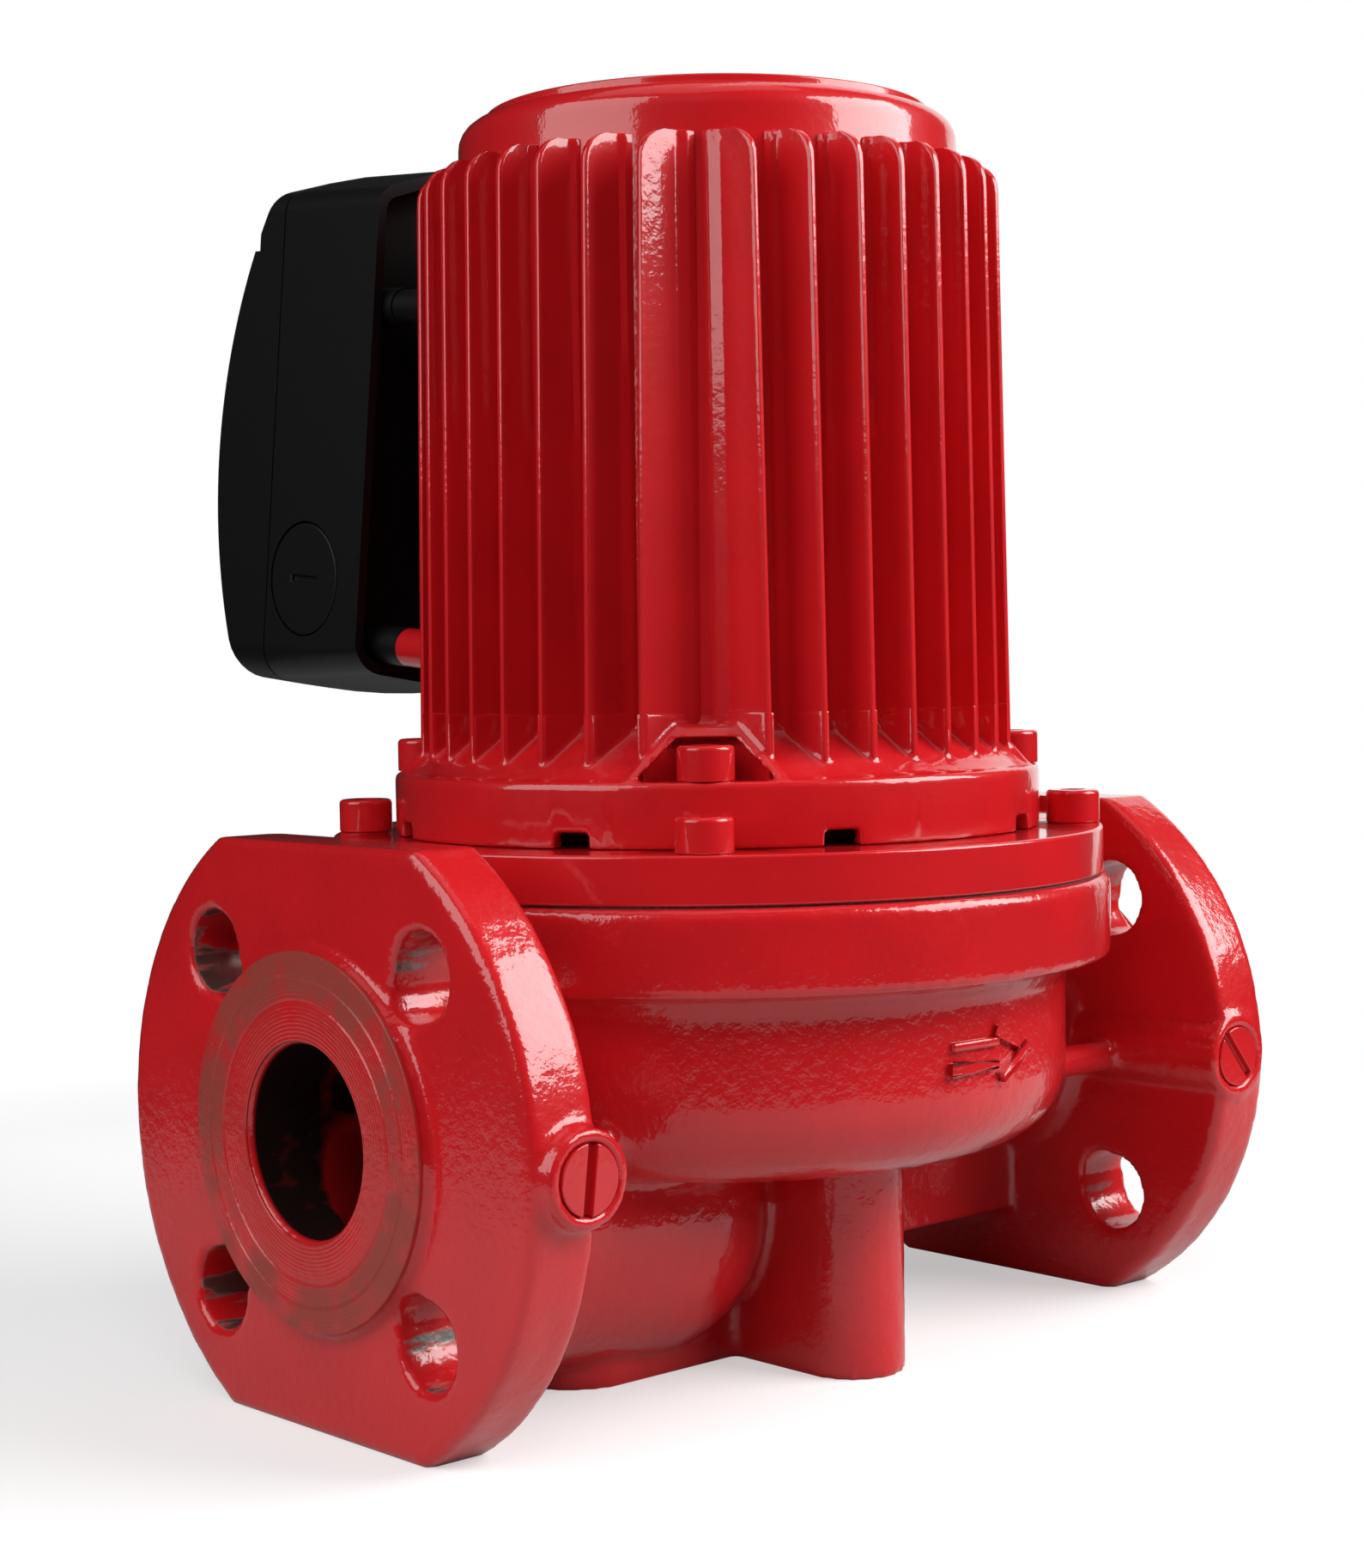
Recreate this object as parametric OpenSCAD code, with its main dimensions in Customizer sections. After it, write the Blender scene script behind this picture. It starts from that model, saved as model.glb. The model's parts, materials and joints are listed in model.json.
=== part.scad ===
// Flanged in-line circulation pump with a canned rotor, standing on its feet.
// X runs along the pipe from inlet to outlet, Z along the motor shaft, upwards.
// The origin lies on the motor axis, level with the underside of the feet.

/* [Pipe connections] */
// Distance between the two flange faces
port_span = 250; // [240:1:280]
// Bore of the inlet and outlet
port_bore = 43; // [38:0.5:46]
// Height of the pipe axis above the feet
pipe_h = 65; // [62:0.5:72]
// Diameter of the pipe flanges
flange_d = 150; // [148:1:160]
// Thickness of a flange plate
flange_t = 18; // [16:0.5:20]
// Diameter of the raised sealing face
raised_d = 84; // [78:1:88]
// Height of the raised sealing face
raised_h = 3; // [2:0.5:4]
// Radius on the cast edges of a flange
flange_edge_r = 2.5; // [1:0.5:4]
// Bolt circle of the larger bolts
bolt_circle_d = 110; // [108:0.5:112]
// Diameter of the larger bolt holes in the inlet flange
bolt_hole_d = 19; // [18:0.1:20]
// Diameter of the larger bolt holes in the outlet flange
outlet_hole_d = 19.4; // [18:0.1:20]
// Bolt circle of the smaller bolts
inner_circle_d = 100; // [99:0.5:101]
// Diameter of the smaller bolt holes
inner_hole_d = 13.8; // [13:0.1:14]
// Wall of the pipe necks
neck_wall = 6.5; // [5:0.5:8]

/* [Pressure tappings] */
// Diameter of the boss that holds a tapping plug
tap_boss_d = 21; // [19:0.5:23]
// How far that boss stands out of the rim of the inlet flange
tap_boss_rise = 3.8; // [2:0.2:5]
// How far the boss of the outlet flange stands out of its rim
outlet_tap_rise = 0.4; // [0.4:0.2:5]
// Distance of the boss axis behind the flange face
tap_back = 15; // [13:0.5:17]
// Diameter of a tapping plug
tap_plug_d = 15; // [13:0.5:16]
// Length of a tapping plug
tap_plug_l = 10; // [8:0.5:12]
// Width of the slot in a tapping plug
tap_slot_w = 2.3; // [1.5:0.1:3]
// Diameter of the drilling from the plug to the bore
tap_drill_d = 4; // [3:0.5:6]

/* [Casing] */
// Diameter of the bowl
bowl_d = 169.4; // [166:0.2:172]
// How far the bowl reaches below the pipe axis
bowl_drop = 13.6; // [11:0.2:15]
// Radius round the underside of the bowl
bowl_edge_r = 18.6; // [12:0.2:22]
// Diameter of the rim that carries the motor
rim_d = 191.6; // [190:0.2:196]
// Height of the rim's underside above the pipe axis
rim_under = 31; // [29:0.5:33]
// Height of the rim's top above the pipe axis
rim_rise = 50.5; // [49:0.5:53]
// Radius of the suction bulb under the bowl
bulb_r = 37; // [36:0.5:38]
// Radius of the waterway inside the suction bulb
suction_r = 25; // [22:0.5:26]
// Diameter of the waterway into the impeller
eye_d = 46; // [42:1:48]
// Wall round the waterways
water_wall = 5.5; // [5:0.5:6]
// Thickness of the web under the outlet
web_t = 9; // [6:0.5:12]
// Thickness of the ribs between bowl and flanges
rib_t = 8; // [6:0.5:9]

/* [Feet] */
// Distance between the two foot holes
foot_span = 88; // [84:1:96]
// Diameter of a foot boss
foot_boss_d = 25; // [22:0.5:28]
// Width of the foot under the suction bulb
foot_leg_w = 34; // [28:1:38]
// Length of that foot from the motor axis
foot_leg_l = 66; // [60:1:70]
// Diameter of a tapped foot hole
foot_hole_d = 10.2; // [9:0.2:12]
// Depth of a tapped foot hole
foot_hole_depth = 22; // [16:1:26]

/* [Hydraulics] */
// Height of the volute floor above the pipe axis
volute_rise = 25; // [24:0.5:26]
// Radius where the volute starts
volute_r = 60; // [59.5:0.5:62]
// How much the volute radius grows in one turn
volute_growth = 17; // [10:0.5:17.5]
// Diameter of the impeller
impeller_d = 115; // [108:0.5:116]
// Outer diameter of the impeller neck
neck_d = 50; // [49:0.5:50.5]
// Wall of the impeller neck
neck_t = 2.5; // [1.5:0.5:3]
// Running gap round the impeller neck
neck_gap = 0.3; // [0.3:0.05:0.5]
// Outer diameter of the wear ring in the casing
wear_ring_d = 58; // [56:0.5:62]
// Height of the wear ring
wear_ring_h = 8; // [6:0.5:9]
// Thickness of the impeller shrouds
shroud_t = 2; // [1.5:0.5:2.5]
// Number of impeller blades
blade_n = 6; // [5:1:8]
// Thickness of an impeller blade
blade_t = 3; // [2:0.5:4]
// Running gap behind the impeller
impeller_gap = 1.5; // [1:0.25:2]

/* [Motor flange] */
// Thickness of the gasket under the motor flange
gasket_t = 0.5; // [0.4:0.1:1]
// Diameter of the motor flange
cover_d = 188.4; // [187:0.2:190]
// Thickness of the motor flange
cover_t = 11; // [10:0.5:13]
// Diameter of the register that centres the motor flange
register_d = 160; // [158:0.5:162]
// Depth of that register
register_h = 9.5; // [9:0.5:11]
// Clearance of parts that are centred in a seat
seat_gap = 0.1; // [0.05:0.05:0.2]
// Diameter of the bearing plate
plate_d = 128; // [124:1:130]
// Width of that plate beyond the can's bottom flange
plate_land = 10; // [9:0.5:12]
// Thickness of the bearing plate
plate_t = 4; // [4:0.25:5]

/* [Rotor] */
// Diameter of the shaft
shaft_d = 12; // [11:0.5:13]
// Gap between the rotor and its can
rotor_gap = 0.5; // [0.4:0.1:1.5]
// Length of the rotor and stator cores
core_l = 70; // [50:1:80]
// Height of the cores above the motor flange
core_rise = 41; // [38:1:44]
// Running clearance of the shaft in its bearings
bearing_gap = 0.05; // [0.03:0.01:0.08]
// Outer diameter of the bearing bushes
bush_d = 22; // [20:0.5:24]
// Length of the bearing bushes
bush_l = 12; // [10:0.5:12]
// Wall of the rotor can
can_t = 0.8; // [0.6:0.1:1]
// Thickness of the can's bottom flange
can_flange_t = 1.2; // [1:0.1:1.5]

/* [Stator housing] */
// Height of the motor above its flange
motor_h = 173; // [170:1:180]
// Diameter of the ring at the foot of the housing
ring_d = 157.8; // [156.4:0.2:159]
// Height of that ring
ring_h = 14.8; // [13:0.2:17]
// Height of the cone above the ring
skirt_h = 11.2; // [9:0.2:13]
// Diameter of the barrel between the fins
barrel_d = 123; // [121:0.5:125]
// Wall of the barrel
barrel_wall = 4.5; // [4:0.25:6]
// Depth of the stator core behind the windings
core_back = 8; // [7:0.5:9]
// Depth of the windings in the stator core
slot_depth = 12; // [11:0.5:12.5]
// Depth of the core in front of the windings
tooth_tip = 4; // [3.5:0.5:4.5]
// Gap between the can and the stator core
can_play = 0.4; // [0.3:0.1:0.6]
// Diameter over the fins at their foot
fin_foot_d = 145; // [142:0.5:147]
// Diameter over the fins at their top
fin_top_d = 141; // [138:0.5:144]
// Distance of the fin tops below the motor top
fin_drop = 14; // [12:0.5:18]
// Distance between two fins of a group
fin_pitch = 11.42; // [11:0.02:11.6]
// Number of fins in each of the four groups
fin_n = 8; // [4:2:8]
// Thickness of a fin at its edge
fin_tip_t = 2; // [1.5:0.1:2.6]
// Thickness of a fin at its root
fin_root_t = 3.2; // [2.8:0.1:4]
// Width of a drain slot
slot_w = 8.5; // [6:0.5:10]
// Height of a drain slot
slot_h = 3.7; // [2.5:0.1:5]
// Width of the motor top round its recess
top_edge_w = 11.5; // [11:0.5:16]
// Depth of that recess
top_recess_h = 6; // [4:0.5:7]

/* [Screws] */
// Diameter of the socket cap screws
screw_d = 8; // [7:0.5:9]
// Diameter of their heads
screw_head_d = 13; // [12:0.5:14]
// Height of their heads
screw_head_h = 8; // [6:0.5:9]
// Width across flats of their sockets
screw_socket_w = 6; // [5:0.5:7]
// Depth of their sockets
screw_socket_h = 4; // [3:0.5:5]
// Circle of the screws into the casing
casing_screw_circle = 174.6; // [174:0.2:176]
// Circle of the screws into the motor flange
stator_screw_circle = 144.8; // [144:0.2:146]

/* [Vent plug] */
// Diameter of the vent plug's head
vent_head_d = 26; // [24:0.5:28]
// Height of the vent plug's head
vent_head_h = 4; // [3:0.25:5]
// Diameter of the vent plug's shank
vent_d = 14; // [12:0.5:15]

/* [Terminal box] */
// Lean of the terminal box towards the motor top
box_lean = 5; // [3:0.25:5.25]
// Distance of its rear edge from the motor axis
box_y = 77; // [77:0.25:80]
// Height of its middle above the motor flange
box_rise = 100; // [96:0.5:102]
// Width of the terminal box at its top
box_top_w = 92; // [92:0.5:98]
// Width of the terminal box at its bottom
box_low_w = 99.8; // [99:0.2:106]
// Depth of its base
base_depth = 41; // [41:0.5:46]
// Depth of the base behind its floor
base_back = 14; // [13:0.5:15]
// Slope of the underside of the base
base_draft = 7; // [4:0.5:8]
// Wall of the terminal box
box_wall = 2.5; // [2:0.25:3]
// Height of the cover's crown above the joint
cover_crown = 25.7; // [24.5:0.1:29]
// Radius of the cover's crown
crown_r = 130; // [125:1:150]
// Depth of the step along the cover's top
cover_step = 2.2; // [1:0.1:3]
// Thickness of the cover seal
seal_t = 0.6; // [0.5:0.1:1]
// Diameter of the cable entry plugs
entry_d = 30; // [28:0.5:31]
// Diameter of a speed selector knob
knob_d = 28; // [24:0.5:30]
// Height of the speed selector knob
knob_h = 9; // [7:0.5:11]

/* [Hidden] */
$fn = 96;
arc_n = 6;
over = 1;
blend = 0.15;

paint = [0.72, 0.08, 0.1];
steel = [0.72, 0.73, 0.75];
black = [0.09, 0.09, 0.1];
rubber = [0.12, 0.12, 0.13];
copper = [0.72, 0.42, 0.22];
ceramic = [0.86, 0.84, 0.78];

// Heights along the motor axis
axis_z = pipe_h;
bowl_z = axis_z - bowl_drop;
rim_z = axis_z + rim_under;
casing_z = axis_z + rim_rise;
volute_z = axis_z + volute_rise;
plate_z = casing_z - register_h;
cover_z = casing_z + gasket_t;
deck_z = cover_z + cover_t;
ring_z = deck_z + ring_h;
skirt_z = ring_z + skirt_h;
top_z = deck_z + motor_h;
fin_z = top_z - fin_drop;
recess_z = top_z - top_recess_h;
roof_t = 5;
roof_z = recess_z - roof_t;
can_flange_z = plate_z + plate_t;
core_z = deck_z + core_rise;
core_top_z = core_z + core_l;
upper_bush_z = core_top_z + 20;
can_top_z = upper_bush_z + bush_l + 3;
lower_bush_z = plate_z + 1;

// Radii
bowl_r = bowl_d / 2;
rim_r = rim_d / 2;
flange_r = flange_d / 2;
bore_r = port_bore / 2;
neck_r = bore_r + neck_wall;
eye_r = eye_d / 2;
register_r = register_d / 2;
screw_r = screw_d / 2;
clear_r = screw_r + 0.5;
thread_gap = 0.05;
head_r = screw_head_d / 2;
shaft_r = shaft_d / 2;
bush_r = bush_d / 2;
impeller_r = impeller_d / 2;
impeller_neck_r = neck_d / 2;
barrel_r = barrel_d / 2;
core_r = barrel_r - barrel_wall;
wire_out_r = core_r - core_back;
wire_in_r = wire_out_r - slot_depth;
can_bore_r = wire_in_r - tooth_tip;
can_r = can_bore_r - can_play - can_t;
rotor_r = can_r - rotor_gap;
ring_r = ring_d / 2;
plate_r = plate_d / 2;
can_flange_d = plate_d - 2 * plate_land;
plate_screw_circle = (plate_d + can_flange_d) / 2;

// Places along the pipe
face_x = port_span / 2;
plate_x = face_x - raised_h;
back_x = plate_x - flange_t;
tap_x = face_x - tap_back;
inlet_tap_y = flange_r + tap_boss_rise;
outlet_tap_y = flange_r + outlet_tap_rise;

function xy(p) = [p[0], p[1]];
function unit(v) = v / norm(v);
function turned(v, a) = [v[0] * cos(a) - v[1] * sin(a), v[0] * sin(a) + v[1] * cos(a)];

// The corner b between a and c as an arc of radius b[2]
function corner_arc(a, b, c) =
    b[2] == 0 ? [xy(b)] :
    let (u = unit(xy(a) - xy(b)),
         v = unit(xy(c) - xy(b)),
         half = acos(u * v) / 2,
         centre = xy(b) + unit(u + v) * b[2] / sin(half),
         first = xy(b) + u * b[2] / tan(half) - centre,
         last = xy(b) + v * b[2] / tan(half) - centre,
         sweep = atan2(first[0] * last[1] - first[1] * last[0], first * last))
    [for (k = [0 : arc_n]) centre + turned(first, sweep * k / arc_n)];

// A closed outline whose points are [x, y, corner radius]
function rounded(pts) =
    [for (i = [0 : len(pts) - 1])
        each corner_arc(pts[(i + len(pts) - 1) % len(pts)], pts[i], pts[(i + 1) % len(pts)])];

module turn(pts) {
    rotate_extrude()
        polygon(rounded(pts));
}

module ball(p, r) {
    translate(p)
        sphere(r);
}

// A cone that runs from one ball to the next, as cast waterways are shaped
module link(p1, r1, p2, r2) {
    along = p2 - p1;
    gap = norm(along);
    lean = asin((r2 - r1) / gap);
    translate(p1)
        rotate([0, acos(along[2] / gap), atan2(along[1], along[0])])
            translate([0, 0, -r1 * sin(lean)])
                cylinder(h = gap - (r2 - r1) * sin(lean),
                    r1 = r1 * cos(lean) - blend, r2 = r2 * cos(lean) - blend);
}

module along_x(x, y, z) {
    translate([x, y, z])
        rotate([0, 90, 0])
            children();
}

module on_diagonals(circle_d) {
    for (a = [45 : 90 : 315])
        rotate([0, 0, a])
            translate([circle_d / 2, 0, 0])
                children();
}

module both_ways() {
    children();
    mirror([1, 0, 0])
        children();
}

// Centres of the waterways
inlet_bend = [-back_x, 0, axis_z];
bulb_far = [-72, 0, axis_z - 24];
bulb_near = [-36, 0, axis_z - 27];
suction_far = [-70, 0, axis_z - 19];
suction_near = [-33, 0, axis_z - 25];
eye_low = [0, 0, axis_z - 1];
throat_in = [10, 66, volute_z + 8];
throat_mid = [52, 44, volute_z + 3];
throat_out = [84, 16, axis_z + 11];
outlet_bend = [back_x, 0, axis_z];
neck_low = [-back_x + 12, 0, axis_z - 3];
outlet_inner = [back_x - 6, 0, axis_z];
throat_in_r = 8;
throat_mid_r = 11;
throat_out_r = 17.5;

module suction_way() {
    along_x(-face_x - over, 0, axis_z)
        cylinder(h = face_x - back_x + over, r = bore_r);
    ball(inlet_bend, bore_r + blend);
    link(inlet_bend, bore_r, suction_far, suction_r);
    ball(suction_far, suction_r);
    link(suction_far, suction_r, suction_near, suction_r);
    ball(suction_near, suction_r);
    link(suction_near, suction_r, eye_low, eye_r);
    ball(eye_low, eye_r + blend);
    translate(eye_low)
        cylinder(h = volute_z - eye_low[2], r = eye_r);
    translate([0, 0, volute_z - wear_ring_h])
        cylinder(h = wear_ring_h + over, r = wear_ring_d / 2 + seat_gap / 2);
}

volute_step = 7.5;
tongue_a = 62;
volute_points = [for (a = [0 : volute_step : 360])
    (volute_r + volute_growth * a / 360) * [cos(tongue_a - a), sin(tongue_a - a)]];

module discharge_way() {
    translate([0, 0, volute_z])
        linear_extrude(casing_z - volute_z - over)
            polygon(volute_points);
    ball(throat_in, throat_in_r);
    link(throat_in, throat_in_r, throat_mid, throat_mid_r);
    ball(throat_mid, throat_mid_r);
    link(throat_mid, throat_mid_r, throat_out, throat_out_r);
    ball(throat_out, throat_out_r);
    link(throat_out, throat_out_r, outlet_bend, bore_r);
    ball(outlet_bend, bore_r + blend);
    along_x(back_x, 0, axis_z)
        cylinder(h = face_x - back_x + over, r = bore_r);
}

module bolt_holes(hole_d) {
    for (a = [45 : 90 : 315])
        rotate([a, 0, 0]) {
            translate([back_x - over, 0, bolt_circle_d / 2])
                rotate([0, 90, 0])
                    cylinder(h = flange_t + 2 * over, d = hole_d);
            translate([back_x - over, 0, inner_circle_d / 2])
                rotate([0, 90, 0])
                    cylinder(h = flange_t + 2 * over, d = inner_hole_d);
        }
}

neck_fillet_r = 6;
raised_edge_r = 0.8;

module flange_body(tap_y) {
    intersection() {
        along_x(0, 0, axis_z)
            turn([[0, back_x - 12, 0], [neck_r, back_x - 12, 0], [neck_r, back_x, neck_fillet_r],
                [flange_r, back_x, flange_edge_r], [flange_r, plate_x, flange_edge_r],
                [raised_d / 2, plate_x, raised_edge_r], [raised_d / 2, face_x, raised_edge_r],
                [0, face_x, 0]]);
        translate([0, -flange_d, 0])
            cube([port_span, 2 * flange_d, 2 * pipe_h]);
    }
    translate([tap_x, -tap_y, axis_z])
        rotate([-90, 0, 0])
            cylinder(h = tap_y - neck_r + neck_fillet_r, d = tap_boss_d);
}

module tap_hole(tap_y) {
    translate([tap_x, -tap_y - over, axis_z])
        rotate([-90, 0, 0])
            cylinder(h = tap_plug_l + 2 * over, d = tap_plug_d + seat_gap);
    translate([tap_x, -tap_y, axis_z])
        rotate([-90, 0, 0])
            cylinder(h = tap_y - bore_r + 3, d = tap_drill_d);
}

rim_step_r = 2;
rim_edge_r = 1.5;
collar_h = 4.4;
collar_t = 1.4;

module bowl_body() {
    turn([[0, bowl_z, 0], [bowl_r, bowl_z, bowl_edge_r], [bowl_r, rim_z - collar_h, 0],
        [bowl_r + collar_t, rim_z - collar_h + collar_t / 2, 0.8],
        [bowl_r + collar_t, rim_z - 1, rim_step_r],
        [rim_r, rim_z, rim_edge_r], [rim_r, casing_z - 1.5, 0.5], [rim_r - 1.2, casing_z, 0],
        [0, casing_z, 0]]);
}

module suction_body() {
    ball(neck_low, neck_r + 1);
    link(neck_low, neck_r + 1, bulb_far, bulb_r - 1);
    ball(bulb_far, bulb_r - 1);
    link(bulb_far, bulb_r - 1, bulb_near, bulb_r);
    ball(bulb_near, bulb_r);
    link(suction_near, suction_r + water_wall, eye_low, eye_r + water_wall);
    ball(eye_low, eye_r + water_wall);
}

module discharge_body() {
    ball(throat_mid, throat_mid_r + water_wall);
    link(throat_mid, throat_mid_r + water_wall, throat_out, throat_out_r + water_wall);
    ball(throat_out, throat_out_r + water_wall);
    link(throat_out, throat_out_r + water_wall, outlet_inner, neck_r);
}

web_z = 17;
rib_y = 40;
rib_drop = 2;

module feet() {
    linear_extrude(bowl_z + bowl_edge_r) {
        translate([-foot_boss_d / 2, -foot_span / 2])
            square([foot_boss_d, foot_span]);
        for (side = [-1, 1])
            translate([0, side * foot_span / 2])
                circle(d = foot_boss_d);
    }
    linear_extrude(suction_near[2] - suction_r / 2) {
        translate([-foot_leg_l + foot_leg_w / 2, -foot_leg_w / 2])
            square([foot_leg_l - foot_leg_w / 2, foot_leg_w]);
        translate([-foot_leg_l + foot_leg_w / 2, 0])
            circle(d = foot_leg_w);
    }
}

module outlet_web() {
    translate([0, -web_t / 2, web_z])
        cube([back_x + over, web_t, axis_z - web_z]);
}

module side_ribs() {
    both_ways()
        along_x(bowl_r * 0.8, -rib_y, axis_z - rib_drop)
            cylinder(h = back_x - bowl_r * 0.8 + over, d = rib_t);
}

casing_thread_h = 14;

module pump_housing() {
    color(paint)
        difference() {
            union() {
                bowl_body();
                suction_body();
                discharge_body();
                flange_body(outlet_tap_y);
                mirror([1, 0, 0])
                    flange_body(inlet_tap_y);
                feet();
                outlet_web();
                side_ribs();
            }
            translate([0, 0, plate_z])
                cylinder(h = register_h + over, r = register_r);
            suction_way();
            discharge_way();
            translate([0, 0, axis_z]) {
                bolt_holes(outlet_hole_d);
                mirror([1, 0, 0])
                    bolt_holes(bolt_hole_d);
            }
            tap_hole(outlet_tap_y);
            mirror([1, 0, 0])
                tap_hole(inlet_tap_y);
            translate([0, 0, casing_z - casing_thread_h])
                on_diagonals(casing_screw_circle)
                    cylinder(h = casing_thread_h + over, r = screw_r + thread_gap);
            for (side = [-1, 1])
                translate([0, side * foot_span / 2, -over])
                    cylinder(h = foot_hole_depth + over, d = foot_hole_d);
        }
}

module wear_ring() {
    color(steel)
        translate([0, 0, volute_z - wear_ring_h])
            difference() {
                cylinder(h = wear_ring_h, d = wear_ring_d);
                translate([0, 0, -over])
                    cylinder(h = wear_ring_h + 2 * over, r = impeller_neck_r + neck_gap);
            }
}

tap_slot_h = 1.8;
left_slot_a = 7;
right_slot_a = -40;

module tapping_plug(tap_y, slot_a) {
    translate([0, -tap_y, 0])
        rotate([-90, 0, 0])
            difference() {
                cylinder(h = tap_plug_l, d = tap_plug_d);
                rotate([0, 0, 90 + slot_a])
                    translate([-tap_plug_d, -tap_slot_w / 2, -over])
                        cube([2 * tap_plug_d, tap_slot_w, tap_slot_h + over]);
            }
}

module tapping_plugs() {
    color(paint) {
        translate([-tap_x, 0, axis_z])
            tapping_plug(inlet_tap_y, left_slot_a);
        translate([tap_x, 0, axis_z])
            tapping_plug(outlet_tap_y, right_slot_a);
    }
}

module housing_gasket() {
    color(rubber)
        translate([0, 0, casing_z])
            difference() {
                cylinder(h = gasket_t, r = cover_d / 2 - 1);
                translate([0, 0, -over])
                    cylinder(h = gasket_t + 2 * over, r = register_r);
                translate([0, 0, -over])
                    on_diagonals(casing_screw_circle)
                        cylinder(h = gasket_t + 2 * over, r = clear_r);
            }
}

seal_groove_r = can_flange_d / 2 - 6;
seal_section_r = 1.25;
plate_screw_r = 2;
plate_screw_depth = 9;
flange_thread_h = 14;

module motor_flange() {
    color(paint)
        difference() {
            turn([[can_bore_r, can_flange_z, 0], [register_r - seat_gap, plate_z, 0],
                [register_r - seat_gap, cover_z, 0], [cover_d / 2, cover_z, 0.6],
                [cover_d / 2, deck_z, 0.8], [can_bore_r, deck_z, 0]]);
            translate([0, 0, plate_z - over])
                cylinder(h = plate_t + over, r = plate_r + seat_gap);
            translate([0, 0, can_flange_z - over])
                cylinder(h = can_flange_t + over, r = can_flange_d / 2 + seat_gap);
            translate([0, 0, can_flange_z + can_flange_t + seal_section_r])
                rotate_extrude()
                    translate([seal_groove_r, -seal_section_r])
                        translate([-seal_section_r - seat_gap, -over])
                            square([2 * (seal_section_r + seat_gap),
                                2 * seal_section_r + over + seat_gap]);
            translate([0, 0, cover_z - over])
                on_diagonals(casing_screw_circle)
                    cylinder(h = cover_t + 2 * over, r = clear_r);
            translate([0, 0, deck_z - flange_thread_h])
                on_diagonals(stator_screw_circle)
                    cylinder(h = flange_thread_h + over, r = screw_r + thread_gap);
            translate([0, 0, can_flange_z - over])
                rotate([0, 0, 45])
                    on_diagonals(plate_screw_circle)
                        cylinder(h = plate_screw_depth + over, r = plate_screw_r + thread_gap);
        }
}

module cap_screw(length) {
    difference() {
        union() {
            turn([[0, 0, 0], [head_r, 0, 0.3], [head_r, screw_head_h, 0.8],
                [0, screw_head_h, 0]]);
            translate([0, 0, -length])
                cylinder(h = length + over, r = screw_r);
        }
        translate([0, 0, screw_head_h - screw_socket_h])
            cylinder(h = screw_socket_h + over, d = screw_socket_w / cos(30), $fn = 6);
    }
}

screw_tip_gap = 1;

module casing_screws() {
    color(paint)
        translate([0, 0, deck_z])
            on_diagonals(casing_screw_circle)
                cap_screw(cover_t + gasket_t + casing_thread_h - screw_tip_gap);
}

module stator_screws() {
    color(paint)
        translate([0, 0, ring_z])
            on_diagonals(stator_screw_circle)
                cap_screw(ring_h + flange_thread_h - screw_tip_gap);
}

bush_holder_wall = 6;
plate_head_r = 3.6;
plate_head_h = 2.5;

module bearing_plate() {
    color(steel)
        difference() {
            turn([[0, plate_z, 0], [plate_r, plate_z, 0.5], [plate_r, can_flange_z, 0],
                [bush_r + bush_holder_wall, can_flange_z, 2],
                [bush_r + bush_holder_wall, lower_bush_z + bush_l + 0.5, 1],
                [0, lower_bush_z + bush_l + 0.5, 0]]);
            translate([0, 0, plate_z - over])
                cylinder(h = bush_l * 3, r = bush_r - 2);
            translate([0, 0, lower_bush_z])
                cylinder(h = bush_l * 3, r = bush_r + seat_gap / 2);
            translate([0, 0, plate_z - over])
                rotate([0, 0, 45])
                    on_diagonals(plate_screw_circle) {
                        cylinder(h = plate_head_h + over, r = plate_head_r + seat_gap);
                        cylinder(h = plate_t + 2 * over, r = plate_screw_r + seat_gap);
                    }
        }
}

module plate_screws() {
    color(steel)
        translate([0, 0, plate_z])
            rotate([0, 0, 45])
                on_diagonals(plate_screw_circle)
                    difference() {
                        union() {
                            cylinder(h = plate_head_h, r = plate_head_r);
                            cylinder(h = plate_t + plate_screw_depth - screw_tip_gap,
                                r = plate_screw_r);
                        }
                        translate([0, 0, -over])
                            cylinder(h = 1.5 + over, r = 1.7, $fn = 6);
                    }
}

module bush() {
    difference() {
        cylinder(h = bush_l, r = bush_r);
        translate([0, 0, -over])
            cylinder(h = bush_l + 2 * over, r = shaft_r + bearing_gap);
    }
}

module lower_bearing() {
    color(ceramic)
        translate([0, 0, lower_bush_z])
            bush();
}

module upper_bearing() {
    color(ceramic)
        translate([0, 0, upper_bush_z])
            bush();
}

module bearing_holder() {
    color(steel)
        difference() {
            turn([[0, upper_bush_z - 1, 0], [can_r - seat_gap, upper_bush_z - 1, 1],
                [can_r - seat_gap, upper_bush_z + 5, 0],
                [bush_r + bush_holder_wall, upper_bush_z + 5, 2],
                [bush_r + bush_holder_wall, upper_bush_z + bush_l, 0],
                [0, upper_bush_z + bush_l, 0]]);
            translate([0, 0, upper_bush_z - 1 - over])
                cylinder(h = bush_l * 3, r = bush_r - 2);
            translate([0, 0, upper_bush_z])
                cylinder(h = bush_l * 3, r = bush_r + seat_gap / 2);
        }
}

module can_seal() {
    color(rubber)
        translate([0, 0, can_flange_z + can_flange_t + seal_section_r])
            rotate_extrude()
                translate([seal_groove_r, 0])
                    circle(seal_section_r);
}

can_neck_r = vent_d / 2 + 3;

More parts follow.
